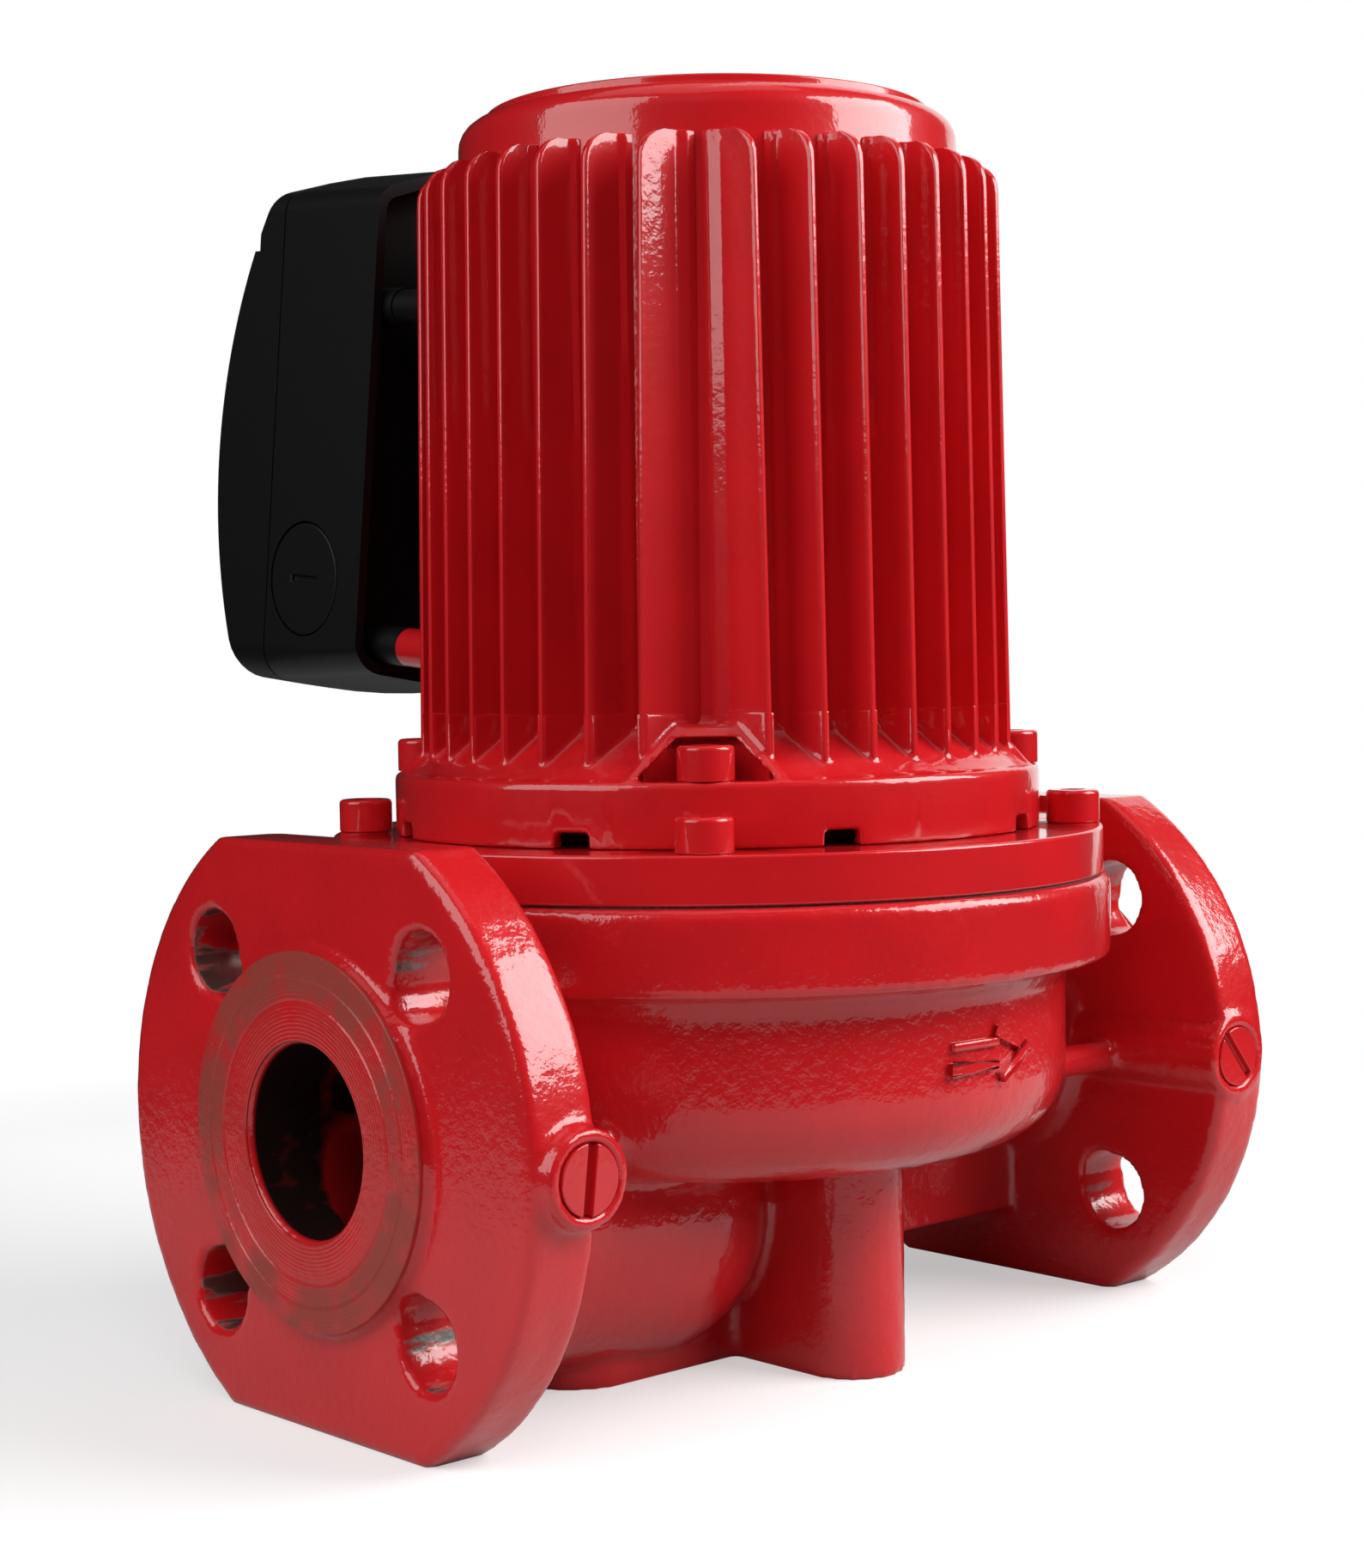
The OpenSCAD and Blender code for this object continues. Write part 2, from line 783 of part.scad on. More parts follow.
module rotor_can() {
    wall_r = can_r + can_t;
    neck_z = recess_z + 1;
    color(steel)
        difference() {
            turn([[0, can_flange_z, 0], [can_flange_d / 2, can_flange_z, 0],
                [can_flange_d / 2, can_flange_z + can_flange_t, 0],
                [wall_r, can_flange_z + can_flange_t, 0], [wall_r, can_top_z + can_t, 3],
                [can_neck_r, can_top_z + can_t, 0], [can_neck_r, neck_z, 0], [0, neck_z, 0]]);
            turn([[0, can_flange_z - over, 0], [can_r, can_flange_z - over, 0],
                [can_r, can_top_z, 2], [vent_d / 2 + bearing_gap, can_top_z, 0],
                [vent_d / 2 + bearing_gap, neck_z + over, 0], [0, neck_z + over, 0]]);
        }
}

hub_r = 11;
nut_r = 9;
nut_h = 8;
back_shroud_z = plate_z - impeller_gap - shroud_t;
front_shroud_z = volute_z + 1.5;
hub_low_z = front_shroud_z + 3;
shaft_low_z = hub_low_z - nut_h;
shaft_top_z = upper_bush_z + bush_l + 1;

module shaft() {
    color(steel)
        turn([[0, shaft_low_z, 0], [shaft_r, shaft_low_z, 0.6], [shaft_r, shaft_top_z, 0.6],
            [0, shaft_top_z, 0]]);
}

end_ring_h = 8;
end_ring_r = rotor_r - 3;

module rotor_core() {
    color(steel)
        difference() {
            turn([[0, core_z - end_ring_h, 0], [end_ring_r, core_z - end_ring_h, 1],
                [end_ring_r, core_z, 0], [rotor_r, core_z, 0],
                [rotor_r, core_top_z, 0], [end_ring_r, core_top_z, 0],
                [end_ring_r, core_top_z + end_ring_h, 1], [0, core_top_z + end_ring_h, 0]]);
            translate([0, 0, core_z - end_ring_h - over])
                cylinder(h = core_l + 2 * end_ring_h + 2 * over, r = shaft_r);
        }
}

thrust_gap = 0.3;
thrust_t = 4;

module thrust_ring() {
    color(ceramic)
        translate([0, 0, lower_bush_z + bush_l + 0.5 + thrust_gap])
            difference() {
                cylinder(h = thrust_t, r = bush_r + 2);
                translate([0, 0, -over])
                    cylinder(h = thrust_t + 2 * over, r = shaft_r);
            }
}

blade_arc_r = 44;
blade_centre = 34;
blade_seat = 0.8;
blade_back = 0.6;

// One blade curves backwards from the eye to the rim
module blade() {
    intersection() {
        translate([0, -blade_centre, 0])
            difference() {
                circle(blade_arc_r + blade_t / 2);
                circle(blade_arc_r - blade_t / 2);
            }
        difference() {
            circle(impeller_r - blade_back);
            circle(impeller_neck_r - neck_t + blade_back);
        }
        square([impeller_d, impeller_d]);
    }
}

module impeller() {
    neck_low_z = volute_z - wear_ring_h + 1;
    color(steel)
        difference() {
            union() {
                difference() {
                    union() {
                        translate([0, 0, neck_low_z])
                            cylinder(h = front_shroud_z - neck_low_z + over,
                                r = impeller_neck_r);
                        translate([0, 0, front_shroud_z])
                            cylinder(h = shroud_t, r = impeller_r);
                    }
                    translate([0, 0, neck_low_z - over])
                        cylinder(h = 3 * wear_ring_h, r = impeller_neck_r - neck_t);
                }
                translate([0, 0, back_shroud_z])
                    cylinder(h = shroud_t, r = impeller_r);
                translate([0, 0, hub_low_z])
                    cylinder(h = plate_z - 0.5 - hub_low_z, r = hub_r);
                translate([0, 0, front_shroud_z + shroud_t - blade_seat])
                    linear_extrude(back_shroud_z - front_shroud_z - shroud_t + 2 * blade_seat)
                        for (k = [0 : blade_n - 1])
                            rotate([0, 0, (k + 0.5) * 360 / blade_n])
                                blade();
            }
            translate([0, 0, front_shroud_z])
                cylinder(h = plate_z, r = shaft_r);
        }
}

nut_cap_h = 2.5;

module impeller_nut() {
    nut_low_z = shaft_low_z - nut_cap_h;
    color(steel)
        difference() {
            union() {
                translate([0, 0, nut_low_z + nut_cap_h])
                    cylinder(h = hub_low_z - shaft_low_z, r = nut_r, $fn = 6);
                translate([0, 0, nut_low_z])
                    cylinder(h = nut_cap_h + over, r1 = 4, r2 = nut_r - 1.5);
            }
            translate([0, 0, shaft_low_z])
                cylinder(h = nut_h + over, r = shaft_r);
        }
}

slot_n = 24;
tooth_gap_w = 4.6;
wire_gap = 0.3;

module stator_core() {
    color(steel)
        translate([0, 0, core_z])
            difference() {
                cylinder(h = core_l, r = core_r - seat_gap);
                translate([0, 0, -over])
                    cylinder(h = core_l + 2 * over, r = can_r + can_t + seat_gap);
                for (k = [0 : slot_n - 1])
                    rotate([0, 0, k * 360 / slot_n])
                        translate([wire_in_r - wire_gap, -tooth_gap_w / 2, -over])
                            cube([wire_out_r - wire_in_r + 2 * wire_gap, tooth_gap_w,
                                core_l + 2 * over]);
            }
}

coil_h = 17;

module coil_end(low_z) {
    turn([[wire_in_r - 1, low_z, 4], [wire_out_r + 4, low_z, 5],
        [wire_out_r + 4, low_z + coil_h, 5], [wire_in_r - 1, low_z + coil_h, 4]]);
}

module stator_windings() {
    color(copper) {
        coil_end(core_z - coil_h - wire_gap);
        coil_end(core_top_z + wire_gap);
        for (k = [0 : slot_n - 1])
            rotate([0, 0, k * 360 / slot_n])
                translate([wire_in_r, -tooth_gap_w / 2 + wire_gap, core_z - 2])
                    cube([wire_out_r - wire_in_r, tooth_gap_w - 2 * wire_gap, core_l + 4]);
    }
}

skirt_r = 6;
shoulder_r = 8;
lip_w = 4;
ring_edge_r = 1.5;
barrel_top_r = barrel_r - 1;
top_recess_r = barrel_r - top_edge_w;
lip_r = top_recess_r + lip_w;
ring_hollow_h = 9;
ring_hollow_wall = 4;
screw_boss_r = 9;

module housing_shell() {
    turn([[0, deck_z, 0], [ring_r, deck_z, 0.4], [ring_r, ring_z, ring_edge_r],
        [ring_r - 2.5, ring_z + 0.4, 0], [barrel_r, skirt_z, skirt_r],
        [barrel_top_r, top_z - 2, shoulder_r], [lip_r, top_z - 2, 0], [lip_r, top_z, 0.6],
        [0, top_z, 0]]);
}

module fin_group() {
    for (i = [0 : fin_n - 1]) {
        y = (i - (fin_n - 1) / 2) * fin_pitch;
        root_x = sqrt(pow(barrel_r - barrel_wall / 2, 2) - pow(y, 2));
        tip_x = sqrt(pow(fin_foot_d / 2, 2) - pow(y, 2)) + over;
        polygon([[root_x, y - fin_root_t / 2], [tip_x, y - fin_tip_t / 2],
            [tip_x, y + fin_tip_t / 2], [root_x, y + fin_root_t / 2]]);
    }
}

fin_shoulder_r = 7;

module fins() {
    intersection() {
        translate([0, 0, ring_z - over])
            linear_extrude(fin_z - ring_z + over)
                for (a = [0 : 90 : 270])
                    rotate([0, 0, a])
                        fin_group();
        turn([[0, ring_z - 2 * over, 0], [fin_foot_d / 2, ring_z - 2 * over, 0],
            [fin_top_d / 2, fin_z, fin_shoulder_r], [0, fin_z, 0]]);
    }
}

pocket_w = 32;
pocket_top_w = 13;
pocket_h = 9.5;
pocket_lip = 2.6;
pocket_in = 8.5;

// The gable over a stator screw: its lip stands out of the skirt, its inside is cut away
module gable(grow, inner_r, outer_r) {
    translate([inner_r, 0, 0])
        rotate([90, 0, 90])
            linear_extrude(outer_r - inner_r)
                polygon([[-pocket_w / 2 - grow, ring_z - 2], [-pocket_w / 2 - grow, ring_z],
                    [-pocket_top_w / 2 - grow * 0.6, ring_z + pocket_h + grow],
                    [pocket_top_w / 2 + grow * 0.6, ring_z + pocket_h + grow],
                    [pocket_w / 2 + grow, ring_z], [pocket_w / 2 + grow, ring_z - 2]]);
}

module screw_gables() {
    intersection() {
        for (a = [45 : 90 : 315])
            rotate([0, 0, a])
                gable(pocket_lip, core_r + 2, ring_r);
        turn([[0, ring_z - 4, 0], [ring_r - 1, ring_z - 4, 0], [ring_r - 1, ring_z, 0],
            [barrel_r + 3, skirt_z + 2.5, 0], [0, skirt_z + 2.5, 0]]);
    }
}

module screw_pockets() {
    for (a = [45 : 90 : 315])
        rotate([0, 0, a])
            intersection() {
                gable(0, stator_screw_circle / 2 - pocket_in, ring_r + over);
                translate([0, -pocket_w, ring_z])
                    cube([ring_d, 2 * pocket_w, 2 * skirt_h]);
            }
}

module ring_hollow() {
    difference() {
        translate([0, 0, deck_z - over])
            difference() {
                cylinder(h = ring_hollow_h + over, r = ring_r - ring_hollow_wall);
                translate([0, 0, -over])
                    cylinder(h = ring_hollow_h + 3 * over, r = barrel_r - 1);
            }
        on_diagonals(stator_screw_circle)
            cylinder(h = 2 * top_z, r = screw_boss_r);
    }
}

module drain_slots() {
    for (a = [22.5 : 45 : 337.5])
        rotate([0, 0, a])
            translate([ring_r - 2 * ring_hollow_wall, -slot_w / 2, deck_z - over])
                cube([3 * ring_hollow_wall, slot_w, slot_h + over]);
}

// Where the terminal box sits: y outwards from its rear edge, z up from its middle
module in_box() {
    translate([0, box_y, deck_z + box_rise])
        rotate([box_lean, 0, 0])
            children();
}

module along_y(x, y, z) {
    translate([x, y, z])
        rotate([-90, 0, 0])
            children();
}

mount_x = 39;
mount_low_z = -54;
mount_high_z = 32;
mount_low_y = -9.7;
mount_high_y = -3.2;
lead_y = -4;
mount_boss_r = 5;
mount_screw_r = 2.5;
mount_thread_h = 12;
lead_z = 12;
lead_r = 8;
lead_boss_wall = 4;
boss_reach = box_y - barrel_r / 2;
lead_reach = box_y + lead_y - core_r + barrel_wall;

module box_bosses() {
    in_box() {
        for (side = [-1, 1]) {
            along_y(side * mount_x, mount_low_y - boss_reach, mount_low_z)
                cylinder(h = boss_reach, r = mount_boss_r);
            along_y(side * mount_x, mount_high_y - boss_reach, mount_high_z)
                cylinder(h = boss_reach, r = mount_boss_r);
        }
        along_y(0, lead_y - lead_reach, lead_z)
            cylinder(h = lead_reach, r = lead_r + lead_boss_wall);
    }
}

module box_boss_holes() {
    in_box() {
        for (side = [-1, 1]) {
            along_y(side * mount_x, mount_low_y - mount_thread_h, mount_low_z)
                cylinder(h = mount_thread_h + over, r = mount_screw_r + thread_gap);
            along_y(side * mount_x, mount_high_y - mount_thread_h, mount_high_z)
                cylinder(h = mount_thread_h + over, r = mount_screw_r + thread_gap);
        }
        along_y(0, lead_y - 2 * lead_reach, lead_z)
            cylinder(h = 2 * lead_reach + over, r = lead_r);
    }
}

vent_boss_r = vent_head_d / 2 + 5;
vent_boss_h = 1.5;
vent_seal_r = 1;

module stator_housing() {
    color(paint)
        difference() {
            union() {
                housing_shell();
                fins();
                screw_gables();
                box_bosses();
            }
            translate([0, 0, deck_z - over])
                cylinder(h = roof_z - deck_z + over, r = core_r);
            translate([0, 0, roof_z - over])
                cylinder(h = motor_h, r = can_neck_r + seat_gap);
            translate([0, 0, recess_z])
                difference() {
                    cylinder(h = top_recess_h + over, r = top_recess_r);
                    translate([0, 0, -over])
                        cylinder(h = vent_boss_h + over, r = vent_boss_r);
                }
            screw_pockets();
            ring_hollow();
            drain_slots();
            box_boss_holes();
            translate([0, 0, deck_z - over])
                on_diagonals(stator_screw_circle)
                    cylinder(h = ring_h + 2 * over, r = clear_r);
        }
}

module vent_seal() {
    color(rubber)
        translate([0, 0, recess_z + vent_boss_h + vent_seal_r])
            rotate_extrude()
                translate([(vent_head_d / 2 + can_neck_r) / 2, 0])
                    circle(vent_seal_r);
}

vent_head_z = recess_z + vent_boss_h + 2 * vent_seal_r + seat_gap;
vent_shank_l = 14;

module vent_plug() {
    color(steel)
        difference() {
            turn([[0, vent_head_z - vent_shank_l, 0],
                [vent_d / 2, vent_head_z - vent_shank_l, 1], [vent_d / 2, vent_head_z, 0],
                [vent_head_d / 2, vent_head_z, 0], [vent_head_d / 2, vent_head_z + vent_head_h, 0.8],
                [0, vent_head_z + vent_head_h, 0]]);
            translate([-vent_head_d, -1.5, vent_head_z + vent_head_h - 2])
                cube([2 * vent_head_d, 3, 2 + over]);
        }
}

box_side_z = 61.2;
box_top_z = 75.2;
box_low_side_z = -65.6;
box_low_z = -73.6;
top_corner_r = 6;
low_corner_r = 10;
box_top_r = 105;
box_low_r = 180;

// Outline of the terminal box seen from the front, drawn smaller by inset
function box_outline(inset) = rounded([
    [-box_low_w / 2 + inset, box_low_side_z + inset, low_corner_r - inset],
    [0, box_low_z + inset, box_low_r],
    [box_low_w / 2 - inset, box_low_side_z + inset, low_corner_r - inset],
    [box_top_w / 2 - inset, box_side_z - inset, top_corner_r - inset],
    [0, box_top_z - inset, box_top_r],
    [-box_top_w / 2 + inset, box_side_z - inset, top_corner_r - inset]]);

// The same outline carried up far past the top, for the sloped underside
function underside(inset) = rounded([
    [-box_low_w / 2 + inset, box_low_side_z + inset, low_corner_r - inset],
    [0, box_low_z + inset, box_low_r],
    [box_low_w / 2 - inset, box_low_side_z + inset, low_corner_r - inset],
    [box_low_w / 2 - inset, 2 * box_top_z, 0],
    [-box_low_w / 2 + inset, 2 * box_top_z, 0]]);

module box_slab(inset, from_y, to_y) {
    translate([0, to_y, 0])
        rotate([90, 0, 0])
            linear_extrude(to_y - from_y)
                polygon(box_outline(inset));
}

// A slab of the base, whose underside slopes down towards the cover
module base_slab(inset, from_y, to_y) {
    intersection() {
        box_slab(inset, from_y, to_y);
        translate([0, base_depth, box_low_z])
            rotate([-base_draft, 0, 0])
                translate([0, box_low_w, -box_low_z])
                    rotate([90, 0, 0])
                        linear_extrude(2 * box_low_w)
                            polygon(underside(inset));
    }
}

floor_t = 2.5;
floor_y = base_back + floor_t;
cover_y = base_depth + seal_t;
entry_y = base_depth - entry_d / 2 - 1.5;
entry_z = -38.5;
side_slant = atan((box_low_w - box_top_w) / 2 / (box_side_z - box_low_side_z));
entry_x = box_low_w / 2 - (entry_z - box_low_side_z) * tan(side_slant);
entry_head_t = 2;
entry_thread_r = entry_d / 2 - 3;
entry_pad_t = 3;
cover_screw_spots = [[-38.5, 50], [38.5, 50], [-22, -58], [22, -58]];
cover_screw_r = 2;
cover_boss_r = 5;
block_w = 64;
block_z = 22;

module entry_sides() {
    for (side = [0, 1])
        mirror([side, 0, 0])
            translate([-entry_x, entry_y, entry_z])
                rotate([0, 90 + side_slant, 0])
                    children();
}

module terminal_base() {
    color(black)
        in_box()
            difference() {
                union() {
                    difference() {
                        base_slab(0, 0, base_depth);
                        base_slab(box_wall, -over, base_back);
                        base_slab(box_wall, floor_y, base_depth + over);
                    }
                    for (side = [-1, 1]) {
                        along_y(side * mount_x, mount_low_y, mount_low_z)
                            cylinder(h = floor_y - mount_low_y, r = mount_boss_r);
                        along_y(side * mount_x, mount_high_y, mount_high_z)
                            cylinder(h = floor_y - mount_high_y, r = mount_boss_r);
                    }
                    translate([0, base_back, 0])
                        cover_screw_places()
                            cylinder(h = base_depth - base_back, r = cover_boss_r);
                    intersection() {
                        entry_sides()
                            cylinder(h = box_wall + entry_pad_t, r = entry_d / 2 + 2);
                        box_slab(0, floor_y - over, base_depth);
                    }
                }
                for (side = [-1, 1]) {
                    along_y(side * mount_x, mount_low_y - over, mount_low_z)
                        cylinder(h = base_depth, r = mount_screw_r + seat_gap);
                    along_y(side * mount_x, mount_high_y - over, mount_high_z)
                        cylinder(h = base_depth, r = mount_screw_r + seat_gap);
                }
                translate([0, floor_y, 0])
                    cover_screw_places()
                        cylinder(h = base_depth, r = cover_screw_r + thread_gap);
                along_y(0, base_back - over, lead_z)
                    cylinder(h = floor_t + 2 * over, r = lead_r + lead_boss_wall);
                entry_sides()
                    translate([0, 0, -over])
                        cylinder(h = entry_head_t + over, r = entry_d / 2 + seat_gap);
                entry_sides()
                    cylinder(h = box_wall + 2 * entry_pad_t, r = entry_thread_r + seat_gap);
            }
}

mount_head_r = 4;
mount_head_h = 3.5;

module box_screws() {
    color(steel)
        in_box()
            for (side = [-1, 1])
                for (place = [[mount_low_y, mount_low_z], [mount_high_y, mount_high_z]])
                    difference() {
                        union() {
                            along_y(side * mount_x, floor_y, place[1])
                                cylinder(h = mount_head_h, r = mount_head_r);
                            along_y(side * mount_x, place[0] - mount_thread_h + screw_tip_gap,
                                place[1])
                                cylinder(h = floor_y - place[0] + mount_thread_h,
                                    r = mount_screw_r);
                        }
                        translate([side * mount_x - 5, floor_y + mount_head_h - 1.5, place[1] - 0.6])
                            cube([10, 3, 1.2]);
                    }
}

grommet_t = 1.5;

module lead_grommet() {
    color(rubber)
        in_box()
            difference() {
                union() {
                    along_y(0, lead_y, lead_z)
                        cylinder(h = floor_y - lead_y, r = lead_r + lead_boss_wall - seat_gap);
                    along_y(0, floor_y, lead_z)
                        cylinder(h = grommet_t, r = lead_r + lead_boss_wall + 2);
                }
                along_y(0, lead_y - over, lead_z)
                    cylinder(h = base_depth, r = lead_r - 2);
            }
}

block_d = 14;
block_h = 22;
block_rise = 18;
block_step = 5;
way_n = 5;
way_pitch = 11;
way_r = 3;
way_wire_w = 6;
way_wire_h = 4.5;
clamp_r = 2.6;
clamp_under = 3.2;
clamp_slot_w = 1;

module ways() {
    in_box()
        for (k = [0 : way_n - 1])
            translate([(k - (way_n - 1) / 2) * way_pitch, floor_y, block_z + block_rise])
                children();
}

module terminal_block() {
    color([0.82, 0.82, 0.8])
        difference() {
            in_box()
                translate([-block_w / 2, floor_y, block_z + block_rise]) {
                    translate([0, 0, -block_h / 2])
                        cube([block_w, block_d - block_step, block_h]);
                    translate([0, 0, -block_h / 2 + block_step])
                        cube([block_w, block_d, block_h - 2 * block_step]);
                }
            ways() {
                along_y(0, clamp_under + way_wire_h - over / 2, 0)
                    cylinder(h = block_d, r = way_r);
                translate([-way_wire_w / 2, clamp_under - seat_gap, -block_h])
                    cube([way_wire_w, way_wire_h, 2 * block_h]);
            }
        }
}

module terminal_screws() {
    color(steel)
        difference() {
            ways()
                along_y(0, clamp_under, 0)
                    cylinder(h = block_d - block_step, r = clamp_r);
            ways()
                translate([-way_wire_w, clamp_under + block_d - block_step - clamp_slot_w,
                    -clamp_slot_w / 2])
                    cube([2 * way_wire_w, 2 * clamp_slot_w, clamp_slot_w]);
        }
}

module_w = 44;
module_d = 12;
module_z = -25;
spindle_r = 3;

module selector_module() {
    color([0.25, 0.26, 0.28])
        in_box()
            difference() {
                translate([0, floor_y + module_d, module_z])
                    rotate([90, 0, 0])
                        linear_extrude(module_d)
                            polygon(rounded([[-module_w / 2, -module_w / 2, 4],
                                [module_w / 2, -module_w / 2, 4], [module_w / 2, module_w / 2, 4],
                                [-module_w / 2, module_w / 2, 4]]));
                along_y(0, floor_y + 2, module_z)
                    cylinder(h = module_d, r = spindle_r + bearing_gap);
            }
}

module speed_selector() {
    knob_y = floor_y + module_d + 0.3;
    color([0.8, 0.8, 0.78])
        in_box()
            difference() {
                union() {
                    along_y(0, floor_y + 2.5, module_z)
                        cylinder(h = module_d, r = spindle_r);
                    along_y(0, knob_y, module_z)
                        turn([[0, 0, 0], [knob_d / 2, 0, 0.5], [knob_d / 2, 2.5, 0.5],
                            [knob_d / 2 - 3, 2.5, 0], [knob_d / 2 - 4, knob_h, 1],
                            [0, knob_h, 0]]);
                }
                translate([-1.5, knob_y + knob_h - 2, module_z])
                    cube([3, 2 + over, knob_d]);
            }
}

earth_x = -30;
earth_z = 8;

module earth_screw() {
    color(steel)
        in_box()
            difference() {
                union() {
                    along_y(earth_x, floor_y, earth_z)
                        cylinder(h = 3, r = 6, $fn = 6);
                    along_y(earth_x, floor_y + 3, earth_z)
                        cylinder(h = 3, r = 4.5);
                }
                translate([earth_x - 6, floor_y + 4.8, earth_z - 0.6])
                    cube([12, 2, 1.2]);
            }
}

entry_slot_l = 11;
entry_slot_w = 1.8;

module entry_plugs() {
    color(black)
        in_box()
            entry_sides()
                difference() {
                    union() {
                        cylinder(h = entry_head_t, r = entry_d / 2 - 0.4);
                        cylinder(h = box_wall + entry_pad_t + 3, r = entry_thread_r);
                    }
                    translate([-entry_slot_w / 2, -entry_slot_l / 2, -over])
                        cube([entry_slot_w, entry_slot_l, 1.2 + over]);
                    translate([0, 0, entry_head_t + 1.5])
                        cylinder(h = 20, r = entry_thread_r - 2);
                }
}

module cover_screw_places() {
    for (spot = cover_screw_spots)
        along_y(spot[0], 0, spot[1])
            children();
}

module cover_seal() {
    color(rubber)
        in_box()
            difference() {
                box_slab(0.4, base_depth, cover_y);
                difference() {
                    box_slab(box_wall + 0.4, base_depth - over, cover_y + over);
                    cover_screw_places()
                        cylinder(h = 2 * base_depth, r = cover_boss_r);
                }
                cover_screw_places()
                    cylinder(h = 2 * base_depth, r = cover_screw_r + seat_gap);
            }
}

cover_head_r = 4;
crown_z = -9;
step_z = 47;
step_y = cover_y + cover_crown - crown_r - cover_step
    + sqrt(pow(crown_r, 2) - pow(step_z - crown_z, 2));
cover_head_y = cover_y + 8;

// The crowned front of the cover, as the inside or outside of a wide barrel
module crown(drop) {
    difference() {
        translate([-box_low_w, cover_y + cover_crown - crown_r, crown_z])
            rotate([0, 90, 0])
                cylinder(h = 2 * box_low_w, r = crown_r - drop);
        translate([-box_low_w, step_y - drop, step_z - drop])
            cube([2 * box_low_w, cover_crown, box_top_z]);
    }
}

module terminal_cover() {
    color(black)
        in_box()
            difference() {
                union() {
                    difference() {
                        intersection() {
                            box_slab(0, cover_y, cover_y + cover_crown);
                            crown(0);
                        }
                        intersection() {
                            box_slab(box_wall, cover_y - over, cover_y + cover_crown);
                            crown(box_wall);
                        }
                    }
                    intersection() {
                        cover_screw_places()
                            cylinder(h = cover_y + cover_crown, r = cover_boss_r + 1);
                        box_slab(0, cover_y, cover_y + cover_crown);
                        crown(0);
                    }
                }
                cover_screw_places()
                    cylinder(h = 2 * base_depth, r = cover_screw_r + seat_gap);
                translate([0, cover_head_y, 0])
                    cover_screw_places()
                        cylinder(h = cover_crown, r = cover_head_r + seat_gap);
            }
}

module cover_screws() {
    color(steel)
        in_box()
            cover_screw_places()
                difference() {
                    union() {
                        translate([0, 0, floor_y + 4])
                            cylinder(h = cover_head_y - floor_y - 3, r = cover_screw_r);
                        translate([0, 0, cover_head_y])
                            cylinder(h = 3, r = cover_head_r);
                    }
                    translate([-0.6, -5, cover_head_y + 1.8])
                        cube([1.2, 10, 2]);
                }
}

pump_housing();
wear_ring();
tapping_plugs();
housing_gasket();
motor_flange();
casing_screws();
bearing_plate();
plate_screws();
lower_bearing();
can_seal();
rotor_can();
upper_bearing();
bearing_holder();
shaft();
rotor_core();
thrust_ring();
impeller();
impeller_nut();
stator_core();
stator_windings();
stator_housing();
stator_screws();
vent_seal();
vent_plug();
terminal_base();
box_screws();
lead_grommet();
terminal_block();
terminal_screws();
selector_module();
speed_selector();
earth_screw();
entry_plugs();
cover_seal();
terminal_cover();
cover_screws();
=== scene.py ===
# %% [markdown]
# # A flanged heating circulator
# A cast iron casing stands on its feet between two pipe flanges, and a finned motor housing
# is screwed on top. The measured solids arrive as a frame, one object for each piece. This
# script gives the pieces their rounded edges, their paint and their light.

# %% The frame
import bpy
import bmesh
import math
import json
from mathutils import Matrix, Vector


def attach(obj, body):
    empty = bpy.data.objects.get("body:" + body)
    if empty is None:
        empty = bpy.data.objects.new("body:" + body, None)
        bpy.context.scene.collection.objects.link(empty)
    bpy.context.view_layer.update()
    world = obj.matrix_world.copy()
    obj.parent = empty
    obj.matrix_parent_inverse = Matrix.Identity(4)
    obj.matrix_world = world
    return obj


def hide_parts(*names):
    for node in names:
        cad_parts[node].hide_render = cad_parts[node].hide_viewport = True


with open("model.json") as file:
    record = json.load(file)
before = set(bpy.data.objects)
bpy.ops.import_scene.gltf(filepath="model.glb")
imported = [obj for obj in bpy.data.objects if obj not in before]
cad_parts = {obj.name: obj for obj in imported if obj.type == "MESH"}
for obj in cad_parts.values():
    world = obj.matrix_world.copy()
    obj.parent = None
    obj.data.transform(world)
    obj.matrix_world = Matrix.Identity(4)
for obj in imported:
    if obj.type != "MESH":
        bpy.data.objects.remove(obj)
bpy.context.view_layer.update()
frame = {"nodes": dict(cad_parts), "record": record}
MM = 0.001
scene = bpy.context.scene
scene.view_settings.view_transform = "Standard"

# %% [markdown]
# ## Camera
# The photograph was taken from a little left of the front, with the lens level with the top
# of the flanges. A long lens, 64 mm on a 36 mm frame, keeps the verticals nearly parallel.

# %% Camera
camera = bpy.data.objects.new("camera", bpy.data.cameras.new("camera"))
scene.collection.objects.link(camera)
scene.camera = camera
camera.location = Vector((-467.12, -499.21, 171.89)) * MM
camera.rotation_euler = [math.radians(a) for a in (87.1303, 0.9309, -42.4221)]
camera.data.sensor_width = 36
camera.data.lens = 63.706
camera.data.clip_start = 0.05
print("lens:", round(camera.data.lens, 1), "mm")

# %% [markdown]
# ## Light
# Painted castings are told by their highlights. A broad soft lamp stands far to the left of
# the camera and a stronger one to its right. Each draws its own bright edges, and what faces
# neither stays dark. A weak lamp hangs above, and a fill over the camera lifts the shade
# without being mirrored. The world is white where the camera, a mirror or glass sees it, and
# dim where it only lights.

